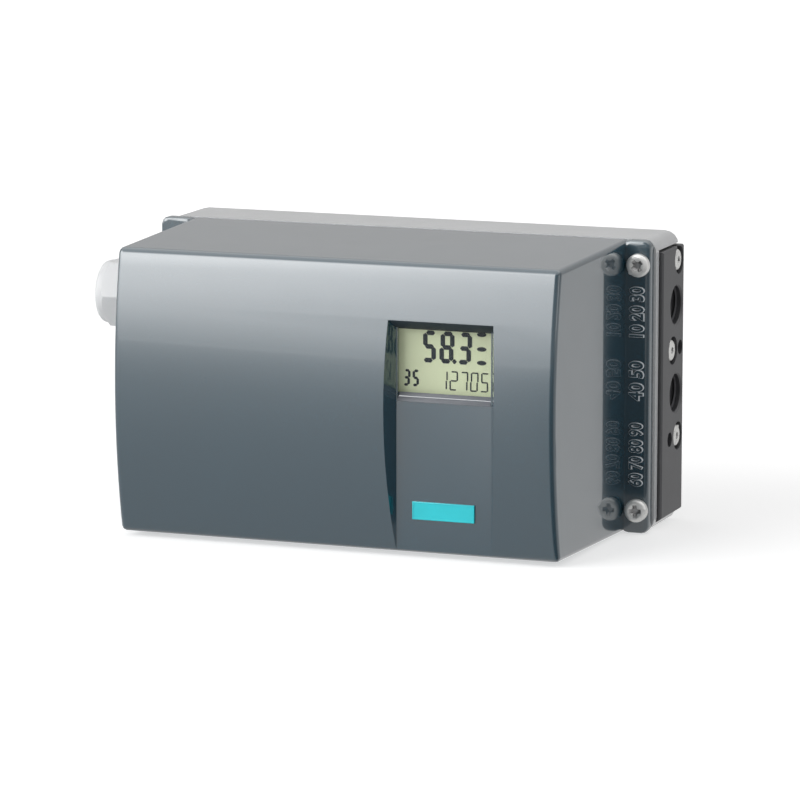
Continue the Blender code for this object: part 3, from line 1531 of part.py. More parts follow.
def terminal_block(name, z):
    """A row of screw terminals with a wire hole in each pole's side."""
    back = TERMINAL_BACK - BOARD_THICKNESS - GAP
    front = back - TERMINAL_BLOCK_HEIGHT
    half = TERMINAL_POLES * TERMINAL_PITCH / 2
    left = terminal_middle() - TERMINAL_BLOCK_WIDTH / 2
    right = left + TERMINAL_BLOCK_WIDTH
    step = TERMINAL_BLOCK_HEIGHT * 0.4
    outline = [
        (left, back),
        (right, back),
        (right, front),
        (left + TERMINAL_BLOCK_WIDTH / 3, front),
        (left, front + step),
    ]
    body = extruded(name, "Z", outline, z - half, z + half)
    for pole in range(TERMINAL_POLES):
        middle = z - half + TERMINAL_PITCH * (pole + 0.5)
        reach = TERMINAL_HOLE / 2
        centre = back - TERMINAL_BLOCK_HEIGHT * 0.3
        mouth = block(
            f"cut_{name}_{pole}",
            (left - OVERSHOOT, centre - reach, middle - reach),
            (left + TERMINAL_BLOCK_WIDTH / 3, centre + reach, middle + reach),
        )
        cut(body, mouth)
    return paint(body, GREY, 0.5)


def terminal_blocks():
    shift = TERMINAL_POLES * TERMINAL_PITCH / 2 + 2 * GAP
    return [
        terminal_block("terminal_block_top", shift),
        terminal_block("terminal_block_bottom", -shift),
    ]


def clear_scene():
    for obj in list(bpy.data.objects):
        bpy.data.objects.remove(obj, do_unlink=True)


def housing():
    base_housing()
    cover_seal()
    front_cover()
    display_window()
    cover_screws()


def air_connections():
    connection_block()
    block_gasket()
    block_screws()
    restrictor_screws()
    exhaust_silencer()


def cable_entries():
    gland_body()
    gland_nut()
    gland_insert()
    washer("gland_washer", GLAND_HEIGHT)
    blanking_plug()
    washer("plug_washer", PLUG_HEIGHT)


def feedback():
    shaft_bush()
    feedback_drive()
    potentiometer()
    pot_pinion()
    sensor_ribbon()
    ratio_selector()


def pneumatics():
    valve_block()
    valve_gasket()
    valve_screws()
    pilot_valves()
    purge_selector()


def electronics():
    board_pillars()
    main_board()
    module_cover()
    module_screws()
    display_frame()
    display_glass()
    keys()
    terminal_pillars()
    terminal_board()
    terminal_blocks()


clear_scene()
housing()
air_connections()
cable_entries()
feedback()
pneumatics()
electronics()
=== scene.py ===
"""Looks of a valve positioner: finishes for its pieces, and the small parts the solids leave out.

Run as a script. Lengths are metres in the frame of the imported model: the display looks along
-Y, the air ports along +X, and the origin is in the middle of the rear mounting face.
"""

import json
from math import cos, pi, radians, sin

import bmesh
import bpy
from bpy.props import FloatProperty, FloatVectorProperty, IntProperty, PointerProperty, StringProperty
from mathutils import Matrix, Vector


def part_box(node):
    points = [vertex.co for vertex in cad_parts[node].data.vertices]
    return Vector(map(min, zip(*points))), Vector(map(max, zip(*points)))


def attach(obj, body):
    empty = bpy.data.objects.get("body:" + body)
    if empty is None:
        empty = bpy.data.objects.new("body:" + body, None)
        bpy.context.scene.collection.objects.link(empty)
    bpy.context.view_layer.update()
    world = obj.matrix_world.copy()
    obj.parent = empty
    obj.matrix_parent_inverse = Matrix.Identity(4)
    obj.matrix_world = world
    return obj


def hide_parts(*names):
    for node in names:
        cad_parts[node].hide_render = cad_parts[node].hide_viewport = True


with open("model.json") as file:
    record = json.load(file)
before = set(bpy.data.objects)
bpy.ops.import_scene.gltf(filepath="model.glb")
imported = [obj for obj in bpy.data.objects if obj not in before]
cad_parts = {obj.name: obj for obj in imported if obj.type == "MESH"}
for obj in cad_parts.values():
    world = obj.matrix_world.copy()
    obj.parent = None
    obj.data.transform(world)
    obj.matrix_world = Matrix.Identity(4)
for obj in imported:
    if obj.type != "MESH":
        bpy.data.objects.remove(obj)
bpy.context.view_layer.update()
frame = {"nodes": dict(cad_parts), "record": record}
NODES = frame["nodes"]

bl_info = {
    "name": "Valve Positioner Looks",
    "version": (1, 0, 0),
    "blender": (4, 5, 0),
    "location": "View3D > Sidebar > Positioner",
    "description": "Finishes and small parts of a valve positioner",
    "category": "Object",
}

MM = 0.001

SOLID_HEAD = 2.7 * MM  # height of a cover screw's head in the solids
POCKET_FLOOR = -90.6 * MM
SUNK = 0.02 * MM  # how far an added plate reaches into what it lies on

FLANGE_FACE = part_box("cover_screw_right_top")[0].y + SOLID_HEAD
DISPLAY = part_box("display_glass")
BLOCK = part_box("connection_block")
TERMINALS = (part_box("terminal_block_top"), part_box("terminal_block_bottom"))


# Properties that a user would change

def length(name, text, value):
    settings = {"subtype": "DISTANCE", "unit": "LENGTH", "precision": 5}
    return FloatProperty(name=name, description=text, default=value * MM, **settings)


def tilt(name, text, value):
    settings = {"subtype": "ANGLE", "unit": "ROTATION"}
    return FloatProperty(name=name, description=text, default=radians(value), **settings)


def colour(name, text, value):
    settings = {"subtype": "COLOR", "size": 3, "min": 0, "max": 1}
    return FloatVectorProperty(name=name, description=text, default=value, **settings)


def share(name, text, value, top=1.0):
    return FloatProperty(name=name, description=text, default=value, min=0, max=top, subtype="FACTOR")


class HousingLooks(bpy.types.PropertyGroup):
    """Colours of the outside."""

    cover: colour("Cover", "Slate colour of the front cover", (0.006, 0.044, 0.070))
    base: colour("Base", "Grey of the base housing", (0.70, 0.71, 0.72))
    block: colour("Block", "Colour of the connection block", (0.042, 0.043, 0.048))
    gland: colour("Gland", "White of the cable gland", (0.80, 0.81, 0.82))
    gloss: share("Cover roughness", "Roughness under the cover's clear skin", 0.24)


class BadgeSizes(bpy.types.PropertyGroup):
    """The bare plate under the display."""

    across: length("Width", "Width of the plate", 20.6)
    up: length("Height", "Height of the plate", 5.7)
    thick: length("Thickness", "How far the plate stands proud", 0.7)
    rim: length("Rim", "Width of the plate's raised rim", 0.28)
    middle_x: length("Middle X", "Middle of the plate along X", 36.1)
    middle_z: length("Middle Z", "Middle of the plate along Z", -32.2)
    tint: colour("Colour", "Colour of the plate", (0.015, 0.66, 0.74))


class NumberSizes(bpy.types.PropertyGroup):
    """Raised numbers cast on the right flange."""

    middle_x: length("Middle X", "Middle of the numbers along X", 79.6)
    tall: length("Height", "Height of a figure", 5.2)
    proud: length("Proud", "How far the figures stand proud", 0.7)
    # Light colour painted on the figures' rounded edges, for the glints they catch.
    tint: colour("Colour", "Colour of the rubbed figures", (0.80, 0.84, 0.88))


class DisplaySizes(bpy.types.PropertyGroup):
    """The display's figures."""

    large: StringProperty(name="Large", description="Figures of the large line", default="58.3")
    small: StringProperty(name="Small", description="Figures at the lower left", default="35")
    thin: StringProperty(name="Thin", description="Figures at the lower right", default="12705")
    lean: tilt("Lean", "Slant of the figures", 5)
    ink: colour("Ink", "Colour of a figure", (0.010, 0.020, 0.027))
    glass: colour("Glass", "Colour of the display's ground", (0.84, 0.92, 0.62))


class ThreadSizes(bpy.types.PropertyGroup):
    """Threads of the air ports and of the bracket holes."""

    port_radius: length("Port radius", "Bore of an air port", 6.2)
    port_pitch: length("Port pitch", "Pitch of an air port's thread", 1.337)
    bracket_radius: length("Bracket radius", "Bore of a bracket hole", 3.5)
    bracket_pitch: length("Bracket pitch", "Pitch of a bracket hole's thread", 1.25)
    facets: IntProperty(name="Facets", description="Facets in a turn", default=40, min=8)


class StageSettings(bpy.types.PropertyGroup):
    """Camera and light."""

    azimuth: tilt("Azimuth", "Camera's turn to the right of the front", 20.6)
    elevation: tilt("Elevation", "Camera's height as an angle", 9.81)
    distance: length("Distance", "From the camera to its target", 1500)
    lens: FloatProperty(name="Lens", description="Focal length", default=216.34, unit="CAMERA")
    target: FloatVectorProperty(
        name="Target", description="Point in the middle of the image",
        default=(0.0215, -0.0906, 0.00245), subtype="TRANSLATION", unit="LENGTH",
    )
    fill: share("Fill", "Light from all round", 0.20, 4)
    rise: share("Rise", "How much more light comes from above", 0.34, 4)
    pool: share("Pool", "Brightness that the far floor adds in reflections", 1.5, 4)
    ground: share("Ground", "Brightness of the near floor in reflections", 0.70, 2)
    overhead: share("Overhead", "Brightness that the sky overhead adds in reflections", 0.85, 4)
    dim: share("Dim", "Share of the brightness that is missing at the right in front", 0.75)
    key: share("Key", "Light from the upper left in front", 4.6, 20)
    side: share("Side", "Light from the right, low down", 0.8, 4)
    lift: share("Floor glow", "What the floor adds for the camera", 0.55, 4)
    around: share("Surroundings", "Brightness of the surroundings in reflections", 0.46, 4)


# Node materials

class Value:
    """A socket in an expression. Each operator adds the Math node that works it out."""

    def __init__(self, finish, socket):
        self.finish = finish
        self.socket = socket

    def math(self, operation, other, swapped=False):
        pair = (other, self) if swapped else (self, other)
        return self.finish.node("ShaderNodeMath", {"operation": operation}, {0: pair[0], 1: pair[1]})

    def __add__(self, other):
        return self.math("ADD", other)

    def __sub__(self, other):
        return self.math("SUBTRACT", other)

    def __rsub__(self, other):
        return self.math("SUBTRACT", other, True)

    def __mul__(self, other):
        return self.math("MULTIPLY", other)

    __radd__ = __add__
    __rmul__ = __mul__


class Finish:
    """A node material, or the world, while it is put together."""

    def __init__(self, owner):
        owner.use_nodes = True
        self.owner = owner
        self.tree = owner.node_tree

    def node(self, kind, settings=None, sockets=None, out=0):
        """Add a node: its settings, then the values or links of its sockets."""
        made = self.tree.nodes.new(kind)
        for key, value in (settings or {}).items():
            setattr(made, key, value)
        for key, value in (sockets or {}).items():
            self.feed(made.inputs[key], value)
        return Value(self, made.outputs[out])

    def feed(self, socket, value):
        if isinstance(value, Value):
            self.tree.links.new(value.socket, socket)
        else:
            socket.default_value = value

    def place(self, stretch=(1, 1, 1), turn=(0, 0, 0)):
        """Object coordinates, drawn out along an axis where a pattern needs it."""
        here = self.node("ShaderNodeTexCoord", out="Object")
        if stretch == (1, 1, 1) and turn == (0, 0, 0):
            return here
        return self.node("ShaderNodeMapping", None, {"Vector": here, "Scale": stretch, "Rotation": turn})

    def noise(self, grain, detail=2.0, stretch=(1, 1, 1), rough=0.5):
        """Cloudy pattern with grains of about the given length."""
        sockets = {"Vector": self.place(stretch), "Scale": 1 / grain, "Detail": detail, "Roughness": rough}
        return self.node("ShaderNodeTexNoise", None, sockets)

    def cells(self, grain):
        """Distance from the middles of cells of about the given size."""
        sockets = {"Vector": self.place(), "Scale": 1 / grain}
        return self.node("ShaderNodeTexVoronoi", None, sockets, "Distance")

    def vector(self, operation, first, second=(0, 0, 0), out="Vector"):
        return self.node("ShaderNodeVectorMath", {"operation": operation}, {0: first, 1: second}, out)

    def spread(self, value, low, high, new_low=0.0, new_high=1.0, soft=True):
        """Carry a value from one range to another."""
        settings = {"interpolation_type": "SMOOTHSTEP" if soft else "LINEAR"}
        sockets = {"Value": value, 1: low, 2: high, 3: new_low, 4: new_high}
        return self.node("ShaderNodeMapRange", settings, sockets)

    def mix(self, factor, first, second):
        """Mix two colours."""
        sockets = {0: factor, 6: opaque(first), 7: opaque(second)}
        return self.node("ShaderNodeMix", {"data_type": "RGBA"}, sockets, 2)

    def vary(self, pattern, shade, low, high):
        """A colour that a pattern makes darker and lighter."""
        return self.mix(pattern, toned(shade, low), toned(shade, high))

    def along(self, axis):
        """How far along an axis a point lies."""
        return self.node("ShaderNodeSeparateXYZ", None, {0: self.place()}, axis)

    def bump(self, height, depth, strength=1.0):
        sockets = {"Height": height, "Distance": depth, "Strength": strength}
        return self.node("ShaderNodeBump", None, sockets)

    def set(self, **sockets):
        """Set or link sockets of the surface shader, by their names in lower case."""
        shader = self.tree.nodes["Principled BSDF"]
        names = {socket.name.lower().replace(" ", "_"): socket for socket in shader.inputs}
        for name, value in sockets.items():
            self.feed(names[name], value)
        return self.owner


def opaque(shade):
    return shade if isinstance(shade, Value) else (*shade[:3], 1)


def toned(shade, amount):
    return tuple(min(1, part * amount) for part in shade)


def finish(name):
    return Finish(bpy.data.materials.new(name))


def lacquered_slate(name, shade, rough):
    """Glossy slate lacquer: faint orange peel and fine specks under a clear skin."""
    look = finish(name)
    clouds = look.noise(28 * MM, 3)
    speck = look.noise(0.35 * MM, 1)
    tint = look.vary(clouds, shade, 0.93, 1.07)
    tint = look.mix(look.spread(speck, 0.62, 0.72), tint, toned(shade, 1.22))
    peel = look.noise(2.4 * MM, 1.5)
    return look.set(
        base_color=tint,
        roughness=rough - 0.04 + 0.08 * look.noise(9 * MM, 3),
        ior=1.5,
        specular_ior_level=0.6,
        coat_weight=1.0,
        coat_roughness=0.03,
        coat_ior=1.8,
        normal=look.bump(peel, 0.004 * MM, 0.5),
    )


def moulded(name, shade, rough=0.5, grain=0.45, depth=0.02, coat=0.0):
    """Moulded plastic with spark-eroded grain and faint flow marks."""
    look = finish(name)
    flow = look.noise(14 * MM, 3, (1, 1, 0.35))
    pits = look.cells(grain * MM)
    tint = look.vary(flow, shade, 0.9, 1.1)
    tint = look.mix(look.spread(pits, 0.1, 0.5), toned(shade, 0.88), tint)
    return look.set(
        base_color=tint,
        roughness=rough - 0.06 + 0.14 * look.noise(5 * MM, 3),
        coat_weight=coat,
        coat_roughness=0.15,
        normal=look.bump(pits, depth * MM, 0.5),
    )


def cast_black(name, shade):
    """Satin black coating on a machined bar, thinner on its specks."""
    look = finish(name)
    grain = look.noise(0.25 * MM, 3)
    wear = look.spread(look.noise(4 * MM, 5, rough=0.65), 0.6, 0.78)
    tint = look.vary(look.noise(11 * MM, 3), shade, 0.8, 1.3)
    tint = look.mix(0.5 * wear, tint, toned(shade, 2.6))
    return look.set(
        base_color=tint,
        roughness=0.40 + 0.12 * grain + 0.05 * wear,
        specular_ior_level=1.0,
        normal=look.bump(grain + 0.4 * look.noise(0.9 * MM, 1), 0.02 * MM, 0.5),
    )


def plated(name, shade, rough=0.28, stretch=(1, 1, 1), metal=1.0):
    """Bright zinc plating or turned steel, with fine tool marks."""
    look = finish(name)
    marks = look.noise(0.5 * MM, 3, stretch)
    stain = look.spread(look.noise(2.2 * MM, 4), 0.5, 0.75)
    tint = look.mix(stain, shade, toned(shade, 0.72))
    return look.set(
        base_color=look.mix(marks, toned(shade, 0.93), tint),
        metallic=metal,
        roughness=rough + 0.12 * marks + 0.12 * stain,
        normal=look.bump(marks, 0.01 * MM, 0.4),
    )


def rubbery(name, shade=(0.022, 0.022, 0.023)):
    """Black rubber with a pale bloom in patches."""
    look = finish(name)
    bloom = look.spread(look.noise(3 * MM, 4), 0.45, 0.8)
    grain = look.noise(0.3 * MM, 2)
    return look.set(
        base_color=look.mix(bloom, shade, toned(shade, 2.2)),
        roughness=0.72 + 0.16 * grain,
        normal=look.bump(grain, 0.02 * MM, 0.6),
    )


def white_nylon(name, shade):
    """White polyamide that lets a little light in, with a faint mould grain."""
    look = finish(name)
    flow = look.noise(7 * MM, 3, (0.4, 1, 1))
    grain = look.noise(0.4 * MM, 2)
    return look.set(
        base_color=look.vary(flow, shade, 0.94, 1.04),
        roughness=0.3 + 0.14 * grain,
        subsurface_weight=0.2,
        subsurface_radius=(0.004, 0.004, 0.004),
        subsurface_scale=0.6,
        normal=look.bump(grain, 0.012 * MM, 0.5),
    )


def board_mask(name, shade):
    """Solder mask over copper tracks, with plated holes on a fixed pitch."""
    look = finish(name)
    place = look.place(turn=(pi / 2, 0, 0))
    sockets = {"Vector": place, "Scale": 1 / (7 * MM), "Mortar Size": 0.03, "Mortar Smooth": 0.4}
    tracks = look.node("ShaderNodeTexBrick", {"offset": 0.37, "squash": 1.6}, sockets, "Fac")
    holes = look.spread(look.cells(2.54 * MM), 0.09, 0.12, 1, 0)
    tint = look.vary(look.noise(9 * MM, 3), shade, 0.85, 1.15)
    tint = look.mix(tracks, tint, toned(shade, 2.1))
    tint = look.mix(holes, tint, (0.55, 0.50, 0.38))
    return look.set(
        base_color=tint,
        roughness=0.34 + 0.1 * look.noise(1.2 * MM, 2),
        metallic=0.6 * holes,
        normal=look.bump(tracks, 0.03 * MM, 0.6),
    )


def display_ground(name, shade):
    """The display's ground: fine grain, lighter towards the bottom, with painted shade at its rim and a
    painted glow in its own colour.
    """
    look = finish(name)
    low, high = DISPLAY
    across = look.spread(look.along("X"), low.x, high.x, -1, 1, False)
    up = look.spread(look.along("Z"), low.z, high.z, -1, 1, False)
    rim = look.spread(across * across + up * up, 0.9, 1.9)
    sparkle = look.noise(0.18 * MM, 2)
    tint = look.vary(sparkle, shade, 0.93, 1.06)
    # Lighter towards the bottom.
    tint = look.mix(look.spread(up, -1, 1), toned(shade, 1.05), tint)
    # Painted shade: the rim is darkened, as if the window's edges shaded it.
    tint = look.mix(0.12 * rim, tint, toned(shade, 0.5))
    return look.set(
        base_color=tint,
        roughness=0.42 + 0.08 * sparkle,
        # Painted glow: the ground sends out light in its own colour, though it is no lamp.
        emission_color=tint,
        emission_strength=0.11,
    )


def clear_pane(name):
    """Hard clear pane with a few faint smears."""
    look = finish(name)
    smear = look.spread(look.noise(6 * MM, 3, (1, 1, 0.4)), 0.45, 0.8)
    return look.set(
        base_color=(0.03, 0.035, 0.035, 1),
        roughness=0.03 + 0.05 * smear,
        alpha=0.09 + 0.03 * smear,
        specular_ior_level=0.6,
    )


def printed(name, shade):
    """Flat display ink with a slightly uneven tone."""
    look = finish(name)
    grain = look.noise(0.4 * MM, 2)
    return look.set(
        base_color=look.vary(grain, shade, 0.8, 1.25),
        roughness=0.5 + 0.1 * grain,
    )


def enamel(name, shade):
    """Smooth coloured enamel with faint clouds."""
    look = finish(name)
    grain = look.noise(0.5 * MM, 2)
    clouds = look.noise(8 * MM, 2)
    tint = look.vary(clouds, shade, 0.92, 1.12)
    return look.set(
        base_color=tint,
        roughness=0.26 + 0.08 * grain,
        coat_weight=0.5,
        coat_roughness=0.1,
        normal=look.bump(grain, 0.004 * MM, 0.5),
    )


# Modelling helpers

def clear_selection():
    if bpy.context.mode != "OBJECT":
        bpy.ops.object.mode_set(mode="OBJECT")
    bpy.ops.object.select_all(action="DESELECT")


def only(obj):
    """Select one object alone and make it the active one."""
    clear_selection()
    bpy.context.view_layer.objects.active = obj
    obj.select_set(True)


def edit_all():
    """Go to edit mode with the whole mesh selected."""
    bpy.ops.object.mode_set(mode="EDIT")
    bpy.ops.mesh.select_all(action="SELECT")


def edit_done():
    bpy.ops.object.mode_set(mode="OBJECT")


def newest(name):
    """Name the object that an operator has just made."""
    obj = bpy.context.object
    obj.name = name
    obj.data.name = name
    return obj


def box_piece(name, low, high, edge=0.0, segments=2):
    """A box between two corners, with its edges bevelled."""
    clear_selection()
    bpy.ops.mesh.primitive_cube_add(size=1, location=(Vector(low) + Vector(high)) / 2)
    obj = newest(name)
    obj.scale = Vector(high) - Vector(low)
    settle(obj)
    if edge:
        edit_all()
        bpy.ops.mesh.bevel(offset=edge, segments=segments, affect="EDGES")
        edit_done()
    return obj


def rod_piece(name, sides, radius, tall, middle):
    """A rod along Z, with its middle at the given height."""
    clear_selection()
    place = (0, 0, middle)
    bpy.ops.mesh.primitive_cylinder_add(vertices=sides, radius=radius, depth=tall, location=place)
    return settle(newest(name))


def outlined(name, corners, fill="NGON"):
    """A flat outline through the given corners."""
    clear_selection()
    bpy.ops.mesh.primitive_circle_add(vertices=len(corners), radius=1 * MM, fill_type=fill)
    obj = newest(name)
    for vertex, corner in zip(obj.data.vertices, corners):
        vertex.co = corner
    return obj


def settle(obj):
    """Put an object's place, turn and size into its mesh."""
    bpy.context.view_layer.update()
    obj.data.transform(obj.matrix_world)
    obj.matrix_world = Matrix.Identity(4)
    return obj


def pick_faces(obj, wanted):
    """Select, in edit mode, the faces whose normal passes the test."""
    bpy.ops.object.mode_set(mode="EDIT")
    bpy.ops.mesh.select_all(action="DESELECT")
    shape = bmesh.from_edit_mesh(obj.data)
    for face in shape.faces:
        face.select_set(bool(wanted(face.normal)))
    shape.select_flush(True)
    bmesh.update_edit_mesh(obj.data)


def rounded(obj, wanted, edge, segments):
    """Round the edges of the faces whose normal passes the test."""
    pick_faces(obj, wanted)
    bpy.ops.mesh.bevel(offset=edge, segments=segments, affect="EDGES")
    edit_done()


def apply(obj, modifier):
    only(obj)
    bpy.ops.object.modifier_apply(modifier=modifier.name)


def broken(obj, angle, edge, segments):
    """Break the edges where faces meet at more than an angle, in degrees."""
    modifier = obj.modifiers.new("broken", "BEVEL")
    modifier.limit_method = "ANGLE"
    modifier.angle_limit = radians(angle)
    modifier.width = edge
    modifier.segments = segments
    apply(obj, modifier)


def carve(obj, cutter, operation="DIFFERENCE"):
    """Cut a shape away, or keep only what lies inside it, and delete the cutter."""
    modifier = obj.modifiers.new("carve", "BOOLEAN")
    modifier.operation = operation
    modifier.solver = "EXACT"
    modifier.object = cutter
    apply(obj, modifier)
    bpy.data.objects.remove(cutter)


def swept(obj, steps, pitch=0.0, turns=1):
    """Sweep an outline about Z, as a ring that closes on itself or as a helix with a pitch."""
    sweep = obj.modifiers.new("sweep", "SCREW")
    sweep.angle = 2 * pi
    sweep.screw_offset = pitch
    sweep.iterations = turns
    sweep.steps = steps
    sweep.render_steps = steps
    sweep.use_merge_vertices = not pitch
    sweep.merge_threshold = 0.001 * MM
    apply(obj, sweep)


def turned(name, profile, steps):
    """A closed shape turned about Z from rows of height and radius, in millimetres."""
    rows = ((profile[0][0], 0), *profile, (profile[-1][0], 0))
    obj = outlined(name, [(wide * MM, 0, tall * MM) for tall, wide in rows], "NOTHING")
    swept(obj, steps)
    return outwards(obj)


def thread(radius, pitch, turns, steps, outer=False):
    """The ridge of a thread, in a bore of the given radius or out to the radius around a core."""
    root = 0.76 * radius if outer else radius + 0.1 * MM
    crest = radius if outer else radius - 0.36 * pitch
    half = 0.42 * pitch
    obj = outlined("thread", ((root, 0, -half), (root, 0, half), (crest, 0, 0)), "NOTHING")
    swept(obj, steps, pitch, turns)
    edit_all()
    bpy.ops.mesh.fill_holes(sides=3)
    edit_done()
    return outwards(obj)


def copied(obj, name, matrix):
    """A copy with a mesh of its own, moved by a matrix."""
    twin = obj.copy()
    twin.data = obj.data.copy()
    twin.name = name
    twin.data.name = name
    twin.data.transform(matrix)
    bpy.context.scene.collection.objects.link(twin)
    return twin


def repeated(name, pattern, places):
    """Join a copy of a pattern at each of the places, and delete the pattern."""
    copies = [copied(pattern, name, place) for place in places]
    bpy.data.objects.remove(pattern)
    return merged(name, copies)


def merged(name, pieces):
    """Join pieces that share a body and a material."""
    clear_selection()
    for piece in pieces:
        piece.select_set(True)
    bpy.context.view_layer.objects.active = pieces[0]
    if len(pieces) > 1:
        bpy.ops.object.join()
    return newest(name)


def outwards(obj):
    """Merge doubles and turn all the faces outwards."""
    only(obj)
    edit_all()
    bpy.ops.mesh.remove_doubles(threshold=0.0005 * MM)
    bpy.ops.mesh.normals_make_consistent(inside=False)
    edit_done()
    return obj


def placed(obj, body, material, angle=30):
    """Shade a finished piece, give it its material and hang it on its body."""
    only(obj)
    bpy.ops.object.shade_smooth_by_angle(angle=radians(angle))
    obj.data.materials.clear()
    obj.data.materials.append(material)
    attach(obj, body)


def shown(name):
    """The smooth copy that stands for a CAD node, or else the node itself."""
    return bpy.data.objects.get(f"{name}_smooth") or NODES[name]


def dress(material, *names):
    """Give CAD nodes, or the copies that stand for them, their finish."""
    for name in names:
        for slot in shown(name).material_slots:
            slot.material = material


def body_of(node):
    bodies = frame["record"]["behaviour"]["bodies"]
    return next(body for body, members in bodies.items() if node in members)


def smoothed(node, angle, edge=0.0):
    """Let a copy of a CAD node stand for it, its curves shaded smooth and its sharp edges broken."""
    name = f"{node}_smooth"
    obj = bpy.data.objects.new(name, NODES[node].data.copy())
    obj.data.name = name
    bpy.context.scene.collection.objects.link(obj)
    only(obj)
    if obj.data.has_custom_normals:
        bpy.ops.mesh.customdata_custom_splitnormals_clear()
    edit_all()
    bpy.ops.mesh.remove_doubles(threshold=0.002 * MM)
    edit_done()
    if edge:
        broken(obj, angle, edge, 2)
    bpy.ops.object.shade_smooth_by_angle(angle=radians(angle))
    even = obj.modifiers.new("even", "WEIGHTED_NORMAL")
    even.keep_sharp = True
    even.weight = 90
    apply(obj, even)
    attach(obj, body_of(node))
    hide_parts(node)


# Operators, one for each piece or group of like pieces

class Step(bpy.types.Operator):
    """A step that builds or finishes some pieces. Each step has its own execute."""

    bl_options = {"REGISTER", "UNDO"}


class SmoothCurves(Step):
    """Shade the curved pieces smooth"""

    bl_idname = "positioner.smooth_curves"
    bl_label = "Smooth Curves"

    FLAT = (
        "block_gasket", "valve_gasket", "main_board", "terminal_board", "display_glass",
        "display_window", "display_frame", "ratio_selector", "inlet_pilot_valve",
        "exhaust_pilot_valve", "valve_block", "terminal_block_top", "terminal_block_bottom",
        "sensor_ribbon",
    )
    TOOTHED = ("shaft_gear", "clutch_wheel", "pot_pinion")
    REMADE = ("cover_screw", "block_screw", "module_screw", "gland_nut")
    # Width of the broken edges, in millimetres, and the angles in degrees that shading takes as sharp
    BROKEN = {"front_cover": 0.22, "base_housing": 0.25, "connection_block": 0.32, "module_cover": 0.2}
    SHARP, SHARP_TOOTH = 32, 25

    def execute(self, context):
        for name in NODES:
            if name in self.FLAT or name.startswith(self.REMADE):
                continue
            sharp = self.SHARP_TOOTH if name in self.TOOTHED else self.SHARP
            smoothed(name, sharp, self.BROKEN.get(name, 0) * MM)
        return {"FINISHED"}


class DressHousing(Step):
    """Finish the cover, the base housing, the window and the seal"""

    bl_idname = "positioner.dress_housing"
    bl_label = "Dress Housing"

    def execute(self, context):
        looks = context.scene.positioner_housing
        dress(lacquered_slate("slate_lacquer", looks.cover, looks.gloss), "front_cover")
        dress(moulded("base_moulding", looks.base, 0.36, 0.6, 0.006, 0.8), "base_housing")
        dress(rubbery("seal_rubber"), "cover_seal", "block_gasket", "valve_gasket")
        dress(rubbery("washer_rubber"), "gland_washer", "plug_washer", "gland_insert")
        dress(clear_pane("window_pane"), "display_window")
        return {"FINISHED"}


